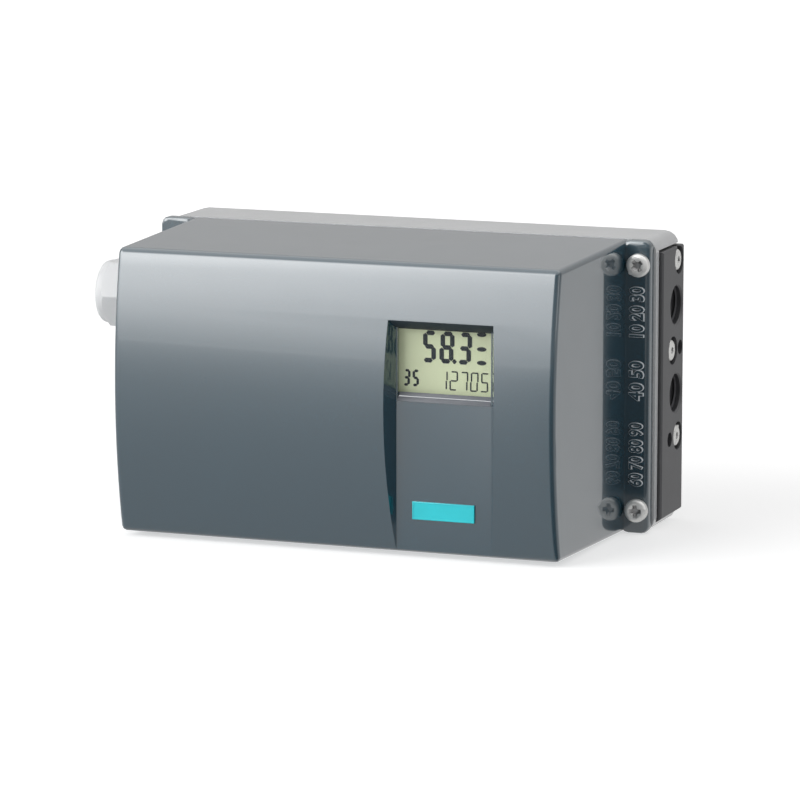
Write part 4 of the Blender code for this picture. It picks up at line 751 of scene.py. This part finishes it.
class MakeScrews(Step):
    """Remake the screws in view, with rounded heads, tapered cross recesses and threads"""

    bl_idname = "positioner.make_screws"
    bl_label = "Make Screws"

    # First words of the names, way outwards, then in millimetres the head's height and the shank's
    # radius, and the reach of the recess as a share of the head's radius
    KINDS = (
        ("cover_screw", (0, -1, 0), 2.4, 1.5, 0.56),
        ("block_screw", (1, 0, 0), 2.6, 2.0, 0.34),
        ("module_screw", (0, -1, 0), None, 1.4, 0.56),
    )
    HEAD = 0.95  # radius of a head, as a share of its node's
    LOW_HEAD = 0.72  # height of a module screw's head, as a share of its radius
    FLOOR = 0.42  # height of the recess's floor, as a share of the head's
    ROUND = 0.30  # of a head's rim, as a share of its radius
    ARM, PIT = 0.18, 0.62  # half widths, as shares of the head's radius and of the recess's reach
    WIDER = 1.06  # how much wider an arm is above the head
    NARROW = (0.5, 0.62)  # an arm's length and width at the recess's floor, as shares
    SHADED_RECESS = (0.62, 1.0125)  # depth and reach of the painted shade in a recess, as shares of head and recess
    CORE, CREST, PITCH = 0.82, 1.06, 0.42  # of the thread, as shares of the shank's radius
    FIRST_TURN, TWIST = 0.35, 47.5  # turn of the recess at the middle, and its change for a metre

    def execute(self, context):
        zinc = plated("bright_zinc", (0.92, 0.92, 0.90), 0.40, metal=0.6)
        # A darker zinc in the cross recesses paints the shade that falls there.
        recess_shade = plated("recess_zinc", (0.46, 0.46, 0.46), 0.36)
        for kind, way, head, shank, reach in self.KINDS:
            nodes = [name for name in NODES if name.startswith(kind)]
            way = Vector(way)
            low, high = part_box(nodes[0])
            radius = self.HEAD * min(high - low) / 2
            reach = reach * radius
            head = head * MM if head else self.LOW_HEAD * radius
            stem = abs(way.dot(high - low)) - head
            screw = merged("screw", [self.head(radius, head, reach), *self.stem(shank * MM, stem)])
            # Faces in a recess take the darker zinc, as painted shade.
            in_shade = [self.in_recess(face.center, head, reach) for face in screw.data.polygons]
            for node in nodes:
                obj = copied(screw, f"{node}_turned", self.seat(node, way, head))
                placed(obj, body_of(node), zinc, 35)
                obj.data.materials.append(recess_shade)
                obj.data.polygons.foreach_set("material_index", in_shade)
                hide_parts(node)
            bpy.data.objects.remove(screw)
        dress(zinc, *[name for name in NODES if name.startswith("valve_screw")])
        blued = plated("blued_zinc", (0.30, 0.31, 0.33), 0.34)
        dress(blued, "restrictor_screw_upper", "restrictor_screw_lower")
        return {"FINISHED"}

    def seat(self, node, way, head):
        """Where a head sits, with its recess turned differently at each height."""
        low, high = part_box(node)
        seat = (low + high) / 2 + way * (abs(way.dot(high - low)) / 2 - head)
        turn = way.to_track_quat("Z", "Y").to_matrix().to_4x4()
        return Matrix.Translation(seat) @ turn @ self.twist(seat.z)

    def twist(self, height):
        return Matrix.Rotation(self.FIRST_TURN + self.TWIST * height, 4, "Z")

    def stem(self, shank, long):
        """The core and the thread of a screw, below its seat."""
        radius = self.CORE * shank
        core = rod_piece("core", 20, radius, long, -long / 2)
        rounded(core, lambda normal: normal.z < -0.9, 0.3 * radius, 1)
        pitch = self.PITCH * shank
        ridge = thread(self.CREST * shank, pitch, int(long / pitch) - 2, 14, True)
        ridge.data.transform(Matrix.Translation((0, 0, 0.5 * shank - long)))
        return core, ridge

    def in_recess(self, place, head, reach):
        """1 for a place in the recess of a screw that stands on its seat, or else 0."""
        deep, wide = self.SHADED_RECESS
        return int(0.1 * MM < head - place.z < deep * head and place.xy.length < wide * reach)

    def head(self, radius, tall, reach):
        """A pan head with a rounded rim and a tapered cross recess."""
        obj = rod_piece("head", 56, radius, tall, tall / 2)
        rounded(obj, lambda normal: normal.z > 0.9, self.ROUND * radius, 5)
        arm = self.ARM * radius
        pit = self.PIT * reach
        for length, width, turn in ((reach, arm, 0), (reach, arm, pi / 2), (pit, pit, pi / 4)):
            cutter = self.arm(length, width, tall)
            cutter.data.transform(Matrix.Rotation(turn, 4, "Z"))
            carve(obj, cutter)
        broken(obj, 45, 0.05 * MM, 1)
        return obj

    def arm(self, reach, half, tall):
        """A cutter for one arm of the recess, narrower at its floor."""
        clear_selection()
        bpy.ops.mesh.primitive_cube_add(size=2, location=(0, 0, 0))
        obj = newest("arm")
        for vertex in obj.data.vertices:
            upper = vertex.co.z > 0
            vertex.co.x *= reach * (self.WIDER if upper else self.NARROW[0])
            vertex.co.y *= half * (self.WIDER if upper else self.NARROW[1])
            vertex.co.z = tall + 0.2 * MM if upper else self.FLOOR * tall
        return obj


class MakeGlandNut(Step):
    """Remake the gland's dome nut, whose flats run out into its rounded end"""

    bl_idname = "positioner.make_gland_nut"
    bl_label = "Make Gland Nut"

    # Heights from the rounded end and radii, in millimetres
    RADIUS = 12.4
    DOME = (
        (0.0, 9.6), (0.15, 9.95), (0.5, 10.25), (1.1, 10.5), (1.8, 10.65), (2.6, 10.7),
        (2.9, 11.1), (3.5, 11.8), (4.0, RADIUS),
    )
    BORE = ((-1, 8.5), (0.0, 7.5), (2.4, 6.0), (4.4, 6.0), (4.41, 8.6))

    def execute(self, context):
        low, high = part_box("gland_nut")
        long = high.x - low.x
        dome = turned("dome", (*self.DOME, (long / MM, self.RADIUS)), 96)
        flats = rod_piece("flats", 6, self.RADIUS * MM, 1.2 * long, long / 2)
        rounded(flats, lambda normal: abs(normal.z) < 0.5, 0.35 * MM, 3)
        carve(dome, flats, "INTERSECT")
        carve(dome, turned("bore", (*self.BORE, (long / MM + 1, self.BORE[-1][1])), 64))
        end = Vector((low.x, (low.y + high.y) / 2, (low.z + high.z) / 2))
        along = Matrix(((0, 0, 1, 0), (0, 1, 0, 0), (-1, 0, 0, 0), (0, 0, 0, 1)))
        dome.data.transform(Matrix.Translation(end) @ along)
        dome.name = dome.data.name = "gland_dome_nut"
        placed(dome, "gland_nut", bpy.data.materials["gland_nylon"], 28)
        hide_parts("gland_nut")
        return {"FINISHED"}


class DressConnections(Step):
    """Finish the connection block, the silencer and the cable entries"""

    bl_idname = "positioner.dress_connections"
    bl_label = "Dress Connections"

    def execute(self, context):
        looks = context.scene.positioner_housing
        dress(cast_black("block_coating", looks.block), "connection_block")
        dress(plated("sintered_bronze", (0.42, 0.29, 0.13), 0.5), "exhaust_silencer")
        dress(white_nylon("gland_nylon", looks.gland), "gland_body")
        dress(moulded("plug_moulding", (0.03, 0.031, 0.033), 0.5, 0.4), "blanking_plug")
        return {"FINISHED"}


class DressDrive(Step):
    """Finish the feedback shaft, its gears, clutch and angle sensor"""

    bl_idname = "positioner.dress_drive"
    bl_label = "Dress Drive"

    def execute(self, context):
        dress(plated("ground_steel", (0.56, 0.56, 0.55), 0.22, (1, 0.1, 1)), "feedback_shaft")
        dress(plated("spring_steel", (0.40, 0.40, 0.41), 0.3), "clutch_spring", "circlip")
        dress(plated("bearing_bronze", (0.55, 0.38, 0.17), 0.3), "shaft_bush", "pot_pinion")
        dress(moulded("gear_moulding", (0.72, 0.72, 0.69), 0.42, 0.3), "shaft_gear")
        yellow = moulded("signal_moulding", (0.72, 0.44, 0.03), 0.45, 0.4)
        dress(yellow, "clutch_wheel", "ratio_selector")
        dress(moulded("sensor_moulding", (0.03, 0.10, 0.30), 0.45, 0.35), "potentiometer")
        dress(moulded("ribbon_jacket", (0.42, 0.43, 0.44), 0.5, 0.3), "sensor_ribbon")
        return {"FINISHED"}


class DressInside(Step):
    """Finish the valve block, the pilot valves, the boards, the module and its keys"""

    bl_idname = "positioner.dress_inside"
    bl_label = "Dress Inside"

    def execute(self, context):
        looks = context.scene.positioner_display
        dress(plated("milled_alloy", (0.52, 0.53, 0.54), 0.36, (1, 1, 0.12)), "valve_block")
        black = moulded("module_moulding", (0.022, 0.023, 0.026), 0.48, 0.5)
        dress(black, "module_cover", "display_frame", "purge_selector")
        pilot = moulded("pilot_moulding", (0.035, 0.036, 0.04), 0.4, 0.3)
        dress(pilot, "inlet_pilot_valve", "exhaust_pilot_valve")
        dress(moulded("key_moulding", (0.30, 0.33, 0.36), 0.42, 0.3), "key_mode", "key_down", "key_up")
        brass = plated("pillar_brass", (0.62, 0.46, 0.20), 0.26)
        dress(brass, *[name for name in NODES if "pillar" in name])
        mask = board_mask("solder_mask", (0.012, 0.10, 0.045))
        dress(mask, "main_board", "terminal_board")
        poles = moulded("terminal_moulding", (0.33, 0.35, 0.36), 0.5, 0.4)
        dress(poles, "terminal_block_top", "terminal_block_bottom")
        dress(display_ground("display_ground", looks.glass), "display_glass")
        return {"FINISHED"}


class MakeBadge(Step):
    """Add the bare coloured plate below the display"""

    bl_idname = "positioner.make_badge"
    bl_label = "Make Badge"

    EDGE, STEP = 0.16 * MM, 0.12 * MM

    def execute(self, context):
        sizes = context.scene.positioner_badge
        half = Vector((sizes.across / 2, 0, sizes.up / 2))
        middle = Vector((sizes.middle_x, POCKET_FLOOR, sizes.middle_z))
        low = middle - half - Vector((0, sizes.thick, 0))
        high = middle + half + Vector((0, SUNK, 0))
        plate = box_piece("badge_plate", low, high, self.EDGE, 3)
        pick_faces(plate, lambda normal: normal.y < -0.99)
        bpy.ops.mesh.inset(thickness=sizes.rim, depth=0)
        bpy.ops.mesh.inset(thickness=self.STEP, depth=-self.STEP)
        edit_done()
        placed(plate, "cover", enamel("teal_enamel", sizes.tint))
        return {"FINISHED"}


class MakeWindowTrim(Step):
    """Add the pocket's sloping head in a dark matt finish that paints the shade above the display, the two
    slats of the window's sill in a light grey that paints the light their slope catches, and a dark plate
    that paints the shadow at the display's top
    """

    bl_idname = "positioner.make_window_trim"
    bl_label = "Make Window Trim"

    # Half widths, and outlines across the bars as places along Y and Z, in millimetres
    HEAD_HALF, SLAT_HALF = 17.2, 15.45
    HEAD = ((-93.7, 27.95), (-90.55, 27.6), (-90.55, 25.45), (-90.75, 25.45))
    SLATS = (
        ((-89.16, 4.9), (-89.34, 4.9), (-89.95, 3.88), (-89.75, 3.75)),
        ((-89.9, 3.55), (-90.2, 3.6), (-90.98, 2.25), (-90.58, 2.2)),
    )
    # A dark plate across the display's top paints the shadow under the window's head.
    MASK_FOOT, MASK_RIM, MASK_THICK = 24.55 * MM, 0.3 * MM, 0.16 * MM

    def execute(self, context):
        head = self.bar("window_head", self.HEAD_HALF, self.HEAD)
        # The head's dark matt finish paints the shade over the band above the display.
        placed(head, "cover", moulded("head_moulding", (0.020, 0.034, 0.044)))
        sill = merged("window_sill", [self.bar("slat", self.SLAT_HALF, slat) for slat in self.SLATS])
        # The slats' light grey paints the light and reflection that their upward slope catches.
        placed(sill, "cover", moulded("sill_moulding", (0.17, 0.18, 0.20)))
        low, high = DISPLAY
        # Painted shadow: a dark plate in the display's ink over the top of its ground.
        rim = self.MASK_RIM
        mask = box_piece(
            "display_mask",
            (low.x + rim, low.y - self.MASK_THICK, self.MASK_FOOT),
            (high.x - rim, low.y + SUNK, high.z - rim),
            0.05 * MM,
            1,
        )
        placed(mask, "base", bpy.data.materials["display_ink"])
        return {"FINISHED"}

    def bar(self, name, half, outline):
        """A bar along X in the middle of the window, with its edges broken."""
        low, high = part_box("display_window")
        left = (low.x + high.x) / 2 - half * MM
        obj = outlined(name, [(left, y * MM, z * MM) for y, z in outline])
        edit_all()
        bpy.ops.mesh.extrude_region_move(TRANSFORM_OT_translate={"value": (2 * half * MM, 0, 0)})
        bpy.ops.mesh.select_all(action="SELECT")
        bpy.ops.mesh.normals_make_consistent(inside=False)
        bpy.ops.mesh.bevel(offset=0.06 * MM, segments=2, affect="EDGES")
        edit_done()
        return obj


class MakeNumbers(Step):
    """Add the raised numbers on the right flange, which read upwards beside their ports"""

    bl_idname = "positioner.make_numbers"
    bl_label = "Make Numbers"

    # The numbers of each row, and its lower and upper end in millimetres
    ROWS = (("10 20 30", 16.0, 32.4), ("40 50", -4.1, 8.9), ("60 70 80 90", -32.0, -11.2))
    ROUND = 0.45  # share of a figure's height that its rounded edge takes
    FACING = -0.93  # a face that looks further forwards than this is a figure's front

    def execute(self, context):
        sizes = context.scene.positioner_numbers
        rows = [self.number(text, low * MM, high * MM, sizes) for text, low, high in self.ROWS]
        numbers = merged("cast_numbers", rows)
        # A light lacquer paints glints on the figures' edges.
        glinting = lacquered_slate("rubbed_lacquer", sizes.tint, 0.3)
        placed(numbers, "cover", glinting, 40)
        numbers.data.materials.append(bpy.data.materials["slate_lacquer"])
        # The rounded edges keep the painted glint colour; the fronts take the slate lacquer.
        for face in numbers.data.polygons:
            if face.normal.y < self.FACING:
                face.material_index = 1
        return {"FINISHED"}

    def number(self, text, low, high, sizes):
        """One number as a mesh, laid along Z with its top towards the cover."""
        clear_selection()
        bpy.ops.object.text_add()
        obj = newest("number")
        obj.data.body = text
        obj.data.align_x = obj.data.align_y = "CENTER"
        obj.data.resolution_u = 4
        obj.data.offset = -0.004
        obj.data.extrude = sizes.proud / sizes.tall * (1 - self.ROUND)
        obj.data.bevel_depth = sizes.proud / sizes.tall * self.ROUND
        obj.data.bevel_resolution = 2
        bpy.ops.object.convert(target="MESH")
        places = [vertex.co for vertex in obj.data.vertices]
        wide = max(place.x for place in places) - min(place.x for place in places)
        tall = max(place.y for place in places) - min(place.y for place in places)
        scale = Matrix.Diagonal(((high - low) / wide, sizes.tall / tall, sizes.tall, 1))
        turn = Matrix(((0, -1, 0, 0), (0, 0, -1, 0), (1, 0, 0, 0), (0, 0, 0, 1)))
        place = Matrix.Translation((sizes.middle_x, FLANGE_FACE, (low + high) / 2))
        obj.data.transform(place @ turn @ scale)
        return obj


class MakeFigures(Step):
    """Add the display's figures and bars, as thin plates just in front of its ground"""

    bl_idname = "positioner.make_figures"
    bl_label = "Make Figures"

    SEGMENTS = {
        "0": "abcdef", "1": "bc", "2": "abdeg", "3": "abcdg", "4": "bcfg",
        "5": "acdfg", "6": "acdefg", "7": "abc", "8": "abcdefg", "9": "abcdfg",
    }

    # Object, property with its text, then in millimetres its ends along X and Z and a bar's width,
    # and a figure's width as a share of its pitch
    LINES = (
        ("large_figures", "large", (27.15, 44.55), (14.3, 24.4), 1.45, 0.79),
        ("small_figures", "small", (21.0, 27.0), (6.5, 11.8), 0.8, 0.76),
        ("thin_figures", "thin", (33.0, 50.0), (5.9, 12.0), 0.42, 0.74),
    )
    THICK = 0.12 * MM
    GAP = 0.16  # between the ends of two segments, as a share of a bar's width
    LENSES = (24.0, 19.4, 15.1)
    LENS_X, LENS_HALF, LENS_FLAT = 47.3, 1.55 * MM, 0.46

    def execute(self, context):
        looks = context.scene.positioner_display
        ink = printed("display_ink", looks.ink)
        for name, prop, across, up, bar, fill in self.LINES:
            pieces = self.line(getattr(looks, prop), across, up, bar, fill, looks.lean)
            placed(merged(name, pieces), "base", ink)
        spots = [self.at(self.LENS_X, z) for z in self.LENSES]
        placed(repeated("display_bars", self.lens(), spots), "base", ink)
        return {"FINISHED"}

    def line(self, text, across, up, bar, fill, lean):
        """Figures in one line, each built of the segments it lights."""
        left, right = across
        low, high = up
        pitch = (right - left) / len(text.replace(".", ""))
        wide = pitch * fill
        half = (high - low - bar) / 2
        reach = (wide - bar) / 2
        gap = self.GAP * bar
        flat = self.plate(wide - bar - gap, bar)
        tall = self.plate(half - gap, bar)
        tall.data.transform(Matrix.Rotation(pi / 2, 4, "Y"))
        spots = {
            "a": (flat, 0, half), "g": (flat, 0, 0), "d": (flat, 0, -half),
            "b": (tall, reach, half / 2), "c": (tall, reach, -half / 2),
            "f": (tall, -reach, half / 2), "e": (tall, -reach, -half / 2),
        }
        pieces = []
        place = 0
        for letter in text:
            if letter == ".":
                dot = self.plate(1.05 * bar, bar)
                before = left + pitch * place - 0.35 * pitch * (1 - fill)
                dot.data.transform(self.at(before, low + bar / 2))
                pieces.append(dot)
                continue
            middle = left + pitch * (place + 0.5)
            for segment in self.SEGMENTS[letter]:
                shape, shift, rise = spots[segment]
                spot = self.at(middle + shift + rise * sin(lean), (low + high) / 2 + rise)
                pieces.append(copied(shape, "figure", spot))
            place += 1
        bpy.data.objects.remove(flat)
        bpy.data.objects.remove(tall)
        return pieces

    def plate(self, wide, bar):
        """A six-sided plate with pointed ends."""
        tip = wide / 2
        inner = (wide - bar) / 2 + 0.12 * bar
        half = bar / 2
        right = ((inner, -half), (tip, 0), (inner, half))
        left = ((-inner, half), (-tip, 0), (-inner, -half))
        corners = [(x * MM, y * MM, 0) for x, y in right + left]
        return self.raised(outlined("segment", corners))

    def lens(self):
        """A lens-shaped bar."""
        clear_selection()
        bpy.ops.mesh.primitive_circle_add(vertices=20, radius=self.LENS_HALF, fill_type="NGON")
        obj = newest("lens")
        for vertex in obj.data.vertices:
            vertex.co.y *= self.LENS_FLAT
        return self.raised(obj)

    def at(self, x, z):
        """A place on the display, in millimetres."""
        return Matrix.Translation((x * MM, DISPLAY[0].y, z * MM))

    def raised(self, obj):
        """Thicken a flat shape and stand it up, facing forwards."""
        edit_all()
        bpy.ops.mesh.extrude_region_move(TRANSFORM_OT_translate={"value": (0, 0, self.THICK)})
        edit_done()
        obj.data.transform(Matrix(((1, 0, 0, 0), (0, 0, -1, 0), (0, 1, 0, 0), (0, 0, 0, 1))))
        return outwards(obj)


class MakeThreads(Step):
    """Add the threads of the two air ports and the four bracket holes"""

    bl_idname = "positioner.make_threads"
    bl_label = "Make Threads"

    # Where the threads start, and how many turns they have
    PORT_Y, PORT_DEPTH = -7.8 * MM, 12 * MM
    PORT_HEIGHTS = (24.1 * MM, -4.7 * MM)
    BRACKET_X, BRACKET_Y, BRACKET_Z = 30 * MM, -11 * MM, 29 * MM
    TURNS = 8

    def execute(self, context):
        sizes = context.scene.positioner_threads
        along_x = Matrix.Rotation(pi / 2, 4, "Y")
        start = BLOCK[1].x - self.PORT_DEPTH
        spots = [Matrix.Translation((start, self.PORT_Y, z)) @ along_x for z in self.PORT_HEIGHTS]
        coil = thread(sizes.port_radius, sizes.port_pitch, self.TURNS, sizes.facets)
        # The port threads are painted nearly black, for the shade deep inside the ports.
        port_shade_metal = plated("cut_thread", (0.07, 0.07, 0.075), 0.42)
        placed(repeated("port_threads", coil, spots), "base", port_shade_metal, 20)
        along_y = Matrix.Rotation(-pi / 2, 4, "X")
        spots = [
            Matrix.Translation((x, self.BRACKET_Y, z)) @ along_y
            for x in (-self.BRACKET_X, self.BRACKET_X) for z in (-self.BRACKET_Z, self.BRACKET_Z)
        ]
        coil = thread(sizes.bracket_radius, sizes.bracket_pitch, self.TURNS, sizes.facets // 2)
        brass = plated("insert_brass", (0.60, 0.45, 0.20), 0.3)
        placed(repeated("bracket_threads", coil, spots), "base", brass, 20)
        return {"FINISHED"}


class MakeTerminalScrews(Step):
    """Add the slotted clamping screws of the two terminal blocks"""

    bl_idname = "positioner.make_terminal_screws"
    bl_label = "Make Terminal Screws"

    POLES = 6
    FROM_RIGHT = 3.6 * MM
    RADIUS, TALL = 1.6 * MM, 0.9 * MM
    SLOT_HALF, SLOT_TOP = 0.22 * MM, 0.12 * MM

    def execute(self, context):
        front = TERMINALS[0][0].y
        screw = rod_piece("terminal_screw", 24, self.RADIUS, self.TALL, 0)
        screw.data.transform(Matrix.Translation((0, front, 0)) @ Matrix.Rotation(pi / 2, 4, "X"))
        rounded(screw, lambda normal: normal.y < -0.9, 0.18 * MM, 2)
        low = (-2 * MM, front - 1 * MM, -self.SLOT_HALF)
        carve(screw, box_piece("slot", low, (2 * MM, front - self.SLOT_TOP, self.SLOT_HALF)))
        spots = []
        for low, high in TERMINALS:
            for pole in range(self.POLES):
                z = low.z + (high.z - low.z) * (pole + 0.5) / self.POLES
                place = Matrix.Translation((high.x - self.FROM_RIGHT, 0, z))
                spots.append(place @ Matrix.Rotation(0.5 * pole, 4, "Y"))
        zinc = bpy.data.materials["bright_zinc"]
        placed(repeated("terminal_screws", screw, spots), "base", zinc)
        return {"FINISHED"}


class MakeStage(Step):
    """Set the floor, the light and the camera"""

    bl_idname = "positioner.make_stage"
    bl_label = "Make Stage"

    FLOOR = -47.55 * MM
    RIGHT_EDGE = (75 * MM, -90 * MM, 0)
    # Azimuth of a lobe, then how far off it the lobe starts and is full, all in degrees
    PATCH = (-44, 34, 19)
    DIMMED = (35, 58, 20)
    ASIDE = (100, 60, 20)
    # Heights in the sky, in degrees, between which a part of the light comes or goes
    PATCH_COMES, PATCH_GOES = (0, 20), (28, 54)
    RIM_GOES, OVERHEAD_COMES = (0, 38), (26, 56)
    # The far floor brightens from here on, and has half of its brightness after the second length
    POOL_START, POOL_HALF = 0.1, 1.1

    def execute(self, context):
        settings = context.scene.positioner_stage
        self.floor(settings)
        self.world(settings)
        self.camera(context, settings)
        context.scene.view_settings.view_transform = "Standard"
        return {"FINISHED"}

    def rays(self, look, *names):
        """1 for rays of the named kinds, 0 for the others."""
        outputs = look.node("ShaderNodeLightPath").socket.node.outputs
        chosen = [Value(look, outputs[name]) for name in names]
        return sum(chosen[1:], chosen[0])

    def lobe(self, look, vector, azimuth, start, full):
        """1 for a direction or place near an azimuth, seen from above, and 0 far off it."""
        level = look.vector("NORMALIZE", look.vector("MULTIPLY", vector, (1, 1, 0)))
        cosine = look.vector("DOT_PRODUCT", level, heading(radians(azimuth), 0), "Value")
        return look.spread(cosine, cos(radians(start)), cos(radians(full)))

    def climb(self, look, up, low, high, first=0, last=1, soft=True):
        """Go from the first value to the last between two heights in the sky, in degrees."""
        return look.spread(up, sin(radians(low)), sin(radians(high)), first, last, soft)

    def dimmed(self, look, vector, settings):
        """The surroundings are darker at the right in front."""
        return 1 - settings.dim * self.lobe(look, vector, *self.DIMMED)

    def floor(self, settings):
        """Pale floor with a soft shadow; reflections show it as part of the bright surroundings."""
        clear_selection()
        bpy.ops.mesh.primitive_plane_add(size=8, location=(0, 0, self.FLOOR))
        ground = settle(newest("floor"))
        look = finish("pale_floor")
        tint = look.mix(look.noise(0.3, 2), (0.80, 0.80, 0.80), (0.82, 0.82, 0.82))
        look.set(base_color=tint, roughness=0.9, specular_ior_level=0.0)
        surface = Value(look, look.tree.nodes["Principled BSDF"].outputs[0])
        seen = self.rays(look, "Is Camera Ray", "Is Transmission Ray")
        glow = look.node("ShaderNodeEmission", None, {"Strength": settings.lift * seen})
        lit = look.node("ShaderNodeAddShader", None, {0: surface, 1: glow})
        ahead = (-self.POOL_START - look.along("Y")).math("MAXIMUM", 0.0)
        pool = settings.pool * ahead.math("DIVIDE", ahead + self.POOL_HALF)
        place = look.vector("SUBTRACT", look.place(), self.RIGHT_EDGE)
        shine = (settings.ground + pool) * self.dimmed(look, place, settings)
        mirrored = look.node("ShaderNodeEmission", None, {"Strength": shine})
        glossy = self.rays(look, "Is Glossy Ray")
        both = look.node("ShaderNodeMixShader", None, {0: glossy, 1: lit, 2: mirrored})
        look.feed(look.tree.nodes["Material Output"].inputs["Surface"], both)
        ground.data.materials.append(look.owner)

    def world(self, settings):
        """White to the camera, and for light an even fill, a soft patch and a glow from the right."""
        world = bpy.data.worlds.new("studio")
        bpy.context.scene.world = world
        look = Finish(world)
        towards = look.node("ShaderNodeTexCoord", None, None, "Generated")
        up = look.node("ShaderNodeSeparateXYZ", None, {0: towards}, "Z")
        patch = self.lobe(look, towards, *self.PATCH) * self.climb(look, up, *self.PATCH_COMES, soft=False)
        patch = patch * self.climb(look, up, *self.PATCH_GOES, 1, 0)
        straight = self.rays(look, "Is Camera Ray")
        bounced = self.rays(look, "Is Glossy Ray", "Is Transmission Ray")
        above = up.math("MAXIMUM", 0.0)
        ahead = look.node("ShaderNodeSeparateXYZ", None, {0: towards}, "Y")
        behind = look.spread(ahead, -0.1, 0.1)
        low = self.climb(look, up, *self.RIM_GOES, 1, 0)
        rim = (settings.ground + settings.pool - settings.around) * (1 - behind) * low
        around = (settings.around + rim) * self.dimmed(look, towards, settings)
        light = settings.fill + (around - settings.fill) * bounced
        overhead = settings.overhead * bounced * self.climb(look, up, *self.OVERHEAD_COMES)
        side = settings.side * (1 - bounced) * self.lobe(look, towards, *self.ASIDE) * low
        light = light + settings.rise * above + settings.key * patch + overhead + side
        strength = light * (1 - straight) + straight
        look.feed(look.tree.nodes["Background"].inputs["Strength"], strength)
        look.tree.nodes["Background"].inputs["Color"].default_value = (1, 1, 1, 1)

    def camera(self, context, settings):
        lens = bpy.data.cameras.new("camera")
        lens.lens = settings.lens
        lens.sensor_width = 36
        lens.clip_end = 20
        camera = bpy.data.objects.new("camera", lens)
        context.scene.collection.objects.link(camera)
        away = heading(settings.azimuth, settings.elevation)
        camera.location = Vector(settings.target) + settings.distance * away
        camera.rotation_euler = (-away).to_track_quat("-Z", "Y").to_euler()
        context.scene.camera = camera


def heading(azimuth, elevation):
    """The direction from the object at an azimuth to the right of its front."""
    return Vector((sin(azimuth) * cos(elevation), -cos(azimuth) * cos(elevation), sin(elevation)))


STEPS = (
    SmoothCurves,
    DressHousing,
    MakeScrews,
    DressConnections,
    MakeGlandNut,
    DressDrive,
    DressInside,
    MakeBadge,
    MakeNumbers,
    MakeFigures,
    MakeWindowTrim,
    MakeThreads,
    MakeTerminalScrews,
    MakeStage,
)
GROUPS = {
    "positioner_housing": HousingLooks,
    "positioner_badge": BadgeSizes,
    "positioner_numbers": NumberSizes,
    "positioner_display": DisplaySizes,
    "positioner_threads": ThreadSizes,
    "positioner_stage": StageSettings,
}


class PositionerPanel(bpy.types.Panel):
    """The sizes and colours, and a button for each step"""

    bl_idname = "VIEW3D_PT_positioner"
    bl_label = "Positioner"
    bl_space_type = "VIEW_3D"
    bl_region_type = "UI"
    bl_category = "Positioner"

    def draw(self, context):
        for name, group in GROUPS.items():
            box = self.layout.box()
            settings = getattr(context.scene, name)
            for prop in group.__annotations__:
                box.prop(settings, prop)
        for step in STEPS:
            self.layout.operator(step.bl_idname)


def register():
    for name, group in GROUPS.items():
        bpy.utils.register_class(group)
        setattr(bpy.types.Scene, name, PointerProperty(type=group))
    for step in STEPS:
        bpy.utils.register_class(step)
    bpy.utils.register_class(PositionerPanel)


def unregister():
    bpy.utils.unregister_class(PositionerPanel)
    for step in reversed(STEPS):
        bpy.utils.unregister_class(step)
    for name, group in reversed(GROUPS.items()):
        delattr(bpy.types.Scene, name)
        bpy.utils.unregister_class(group)


def corners(box):
    return [[float(part) for part in corner] for corner in box]


def main():
    register()
    for step in STEPS:
        category, name = step.bl_idname.split(".")
        getattr(getattr(bpy.ops, category), name)()


if __name__ == "__main__":
    main()
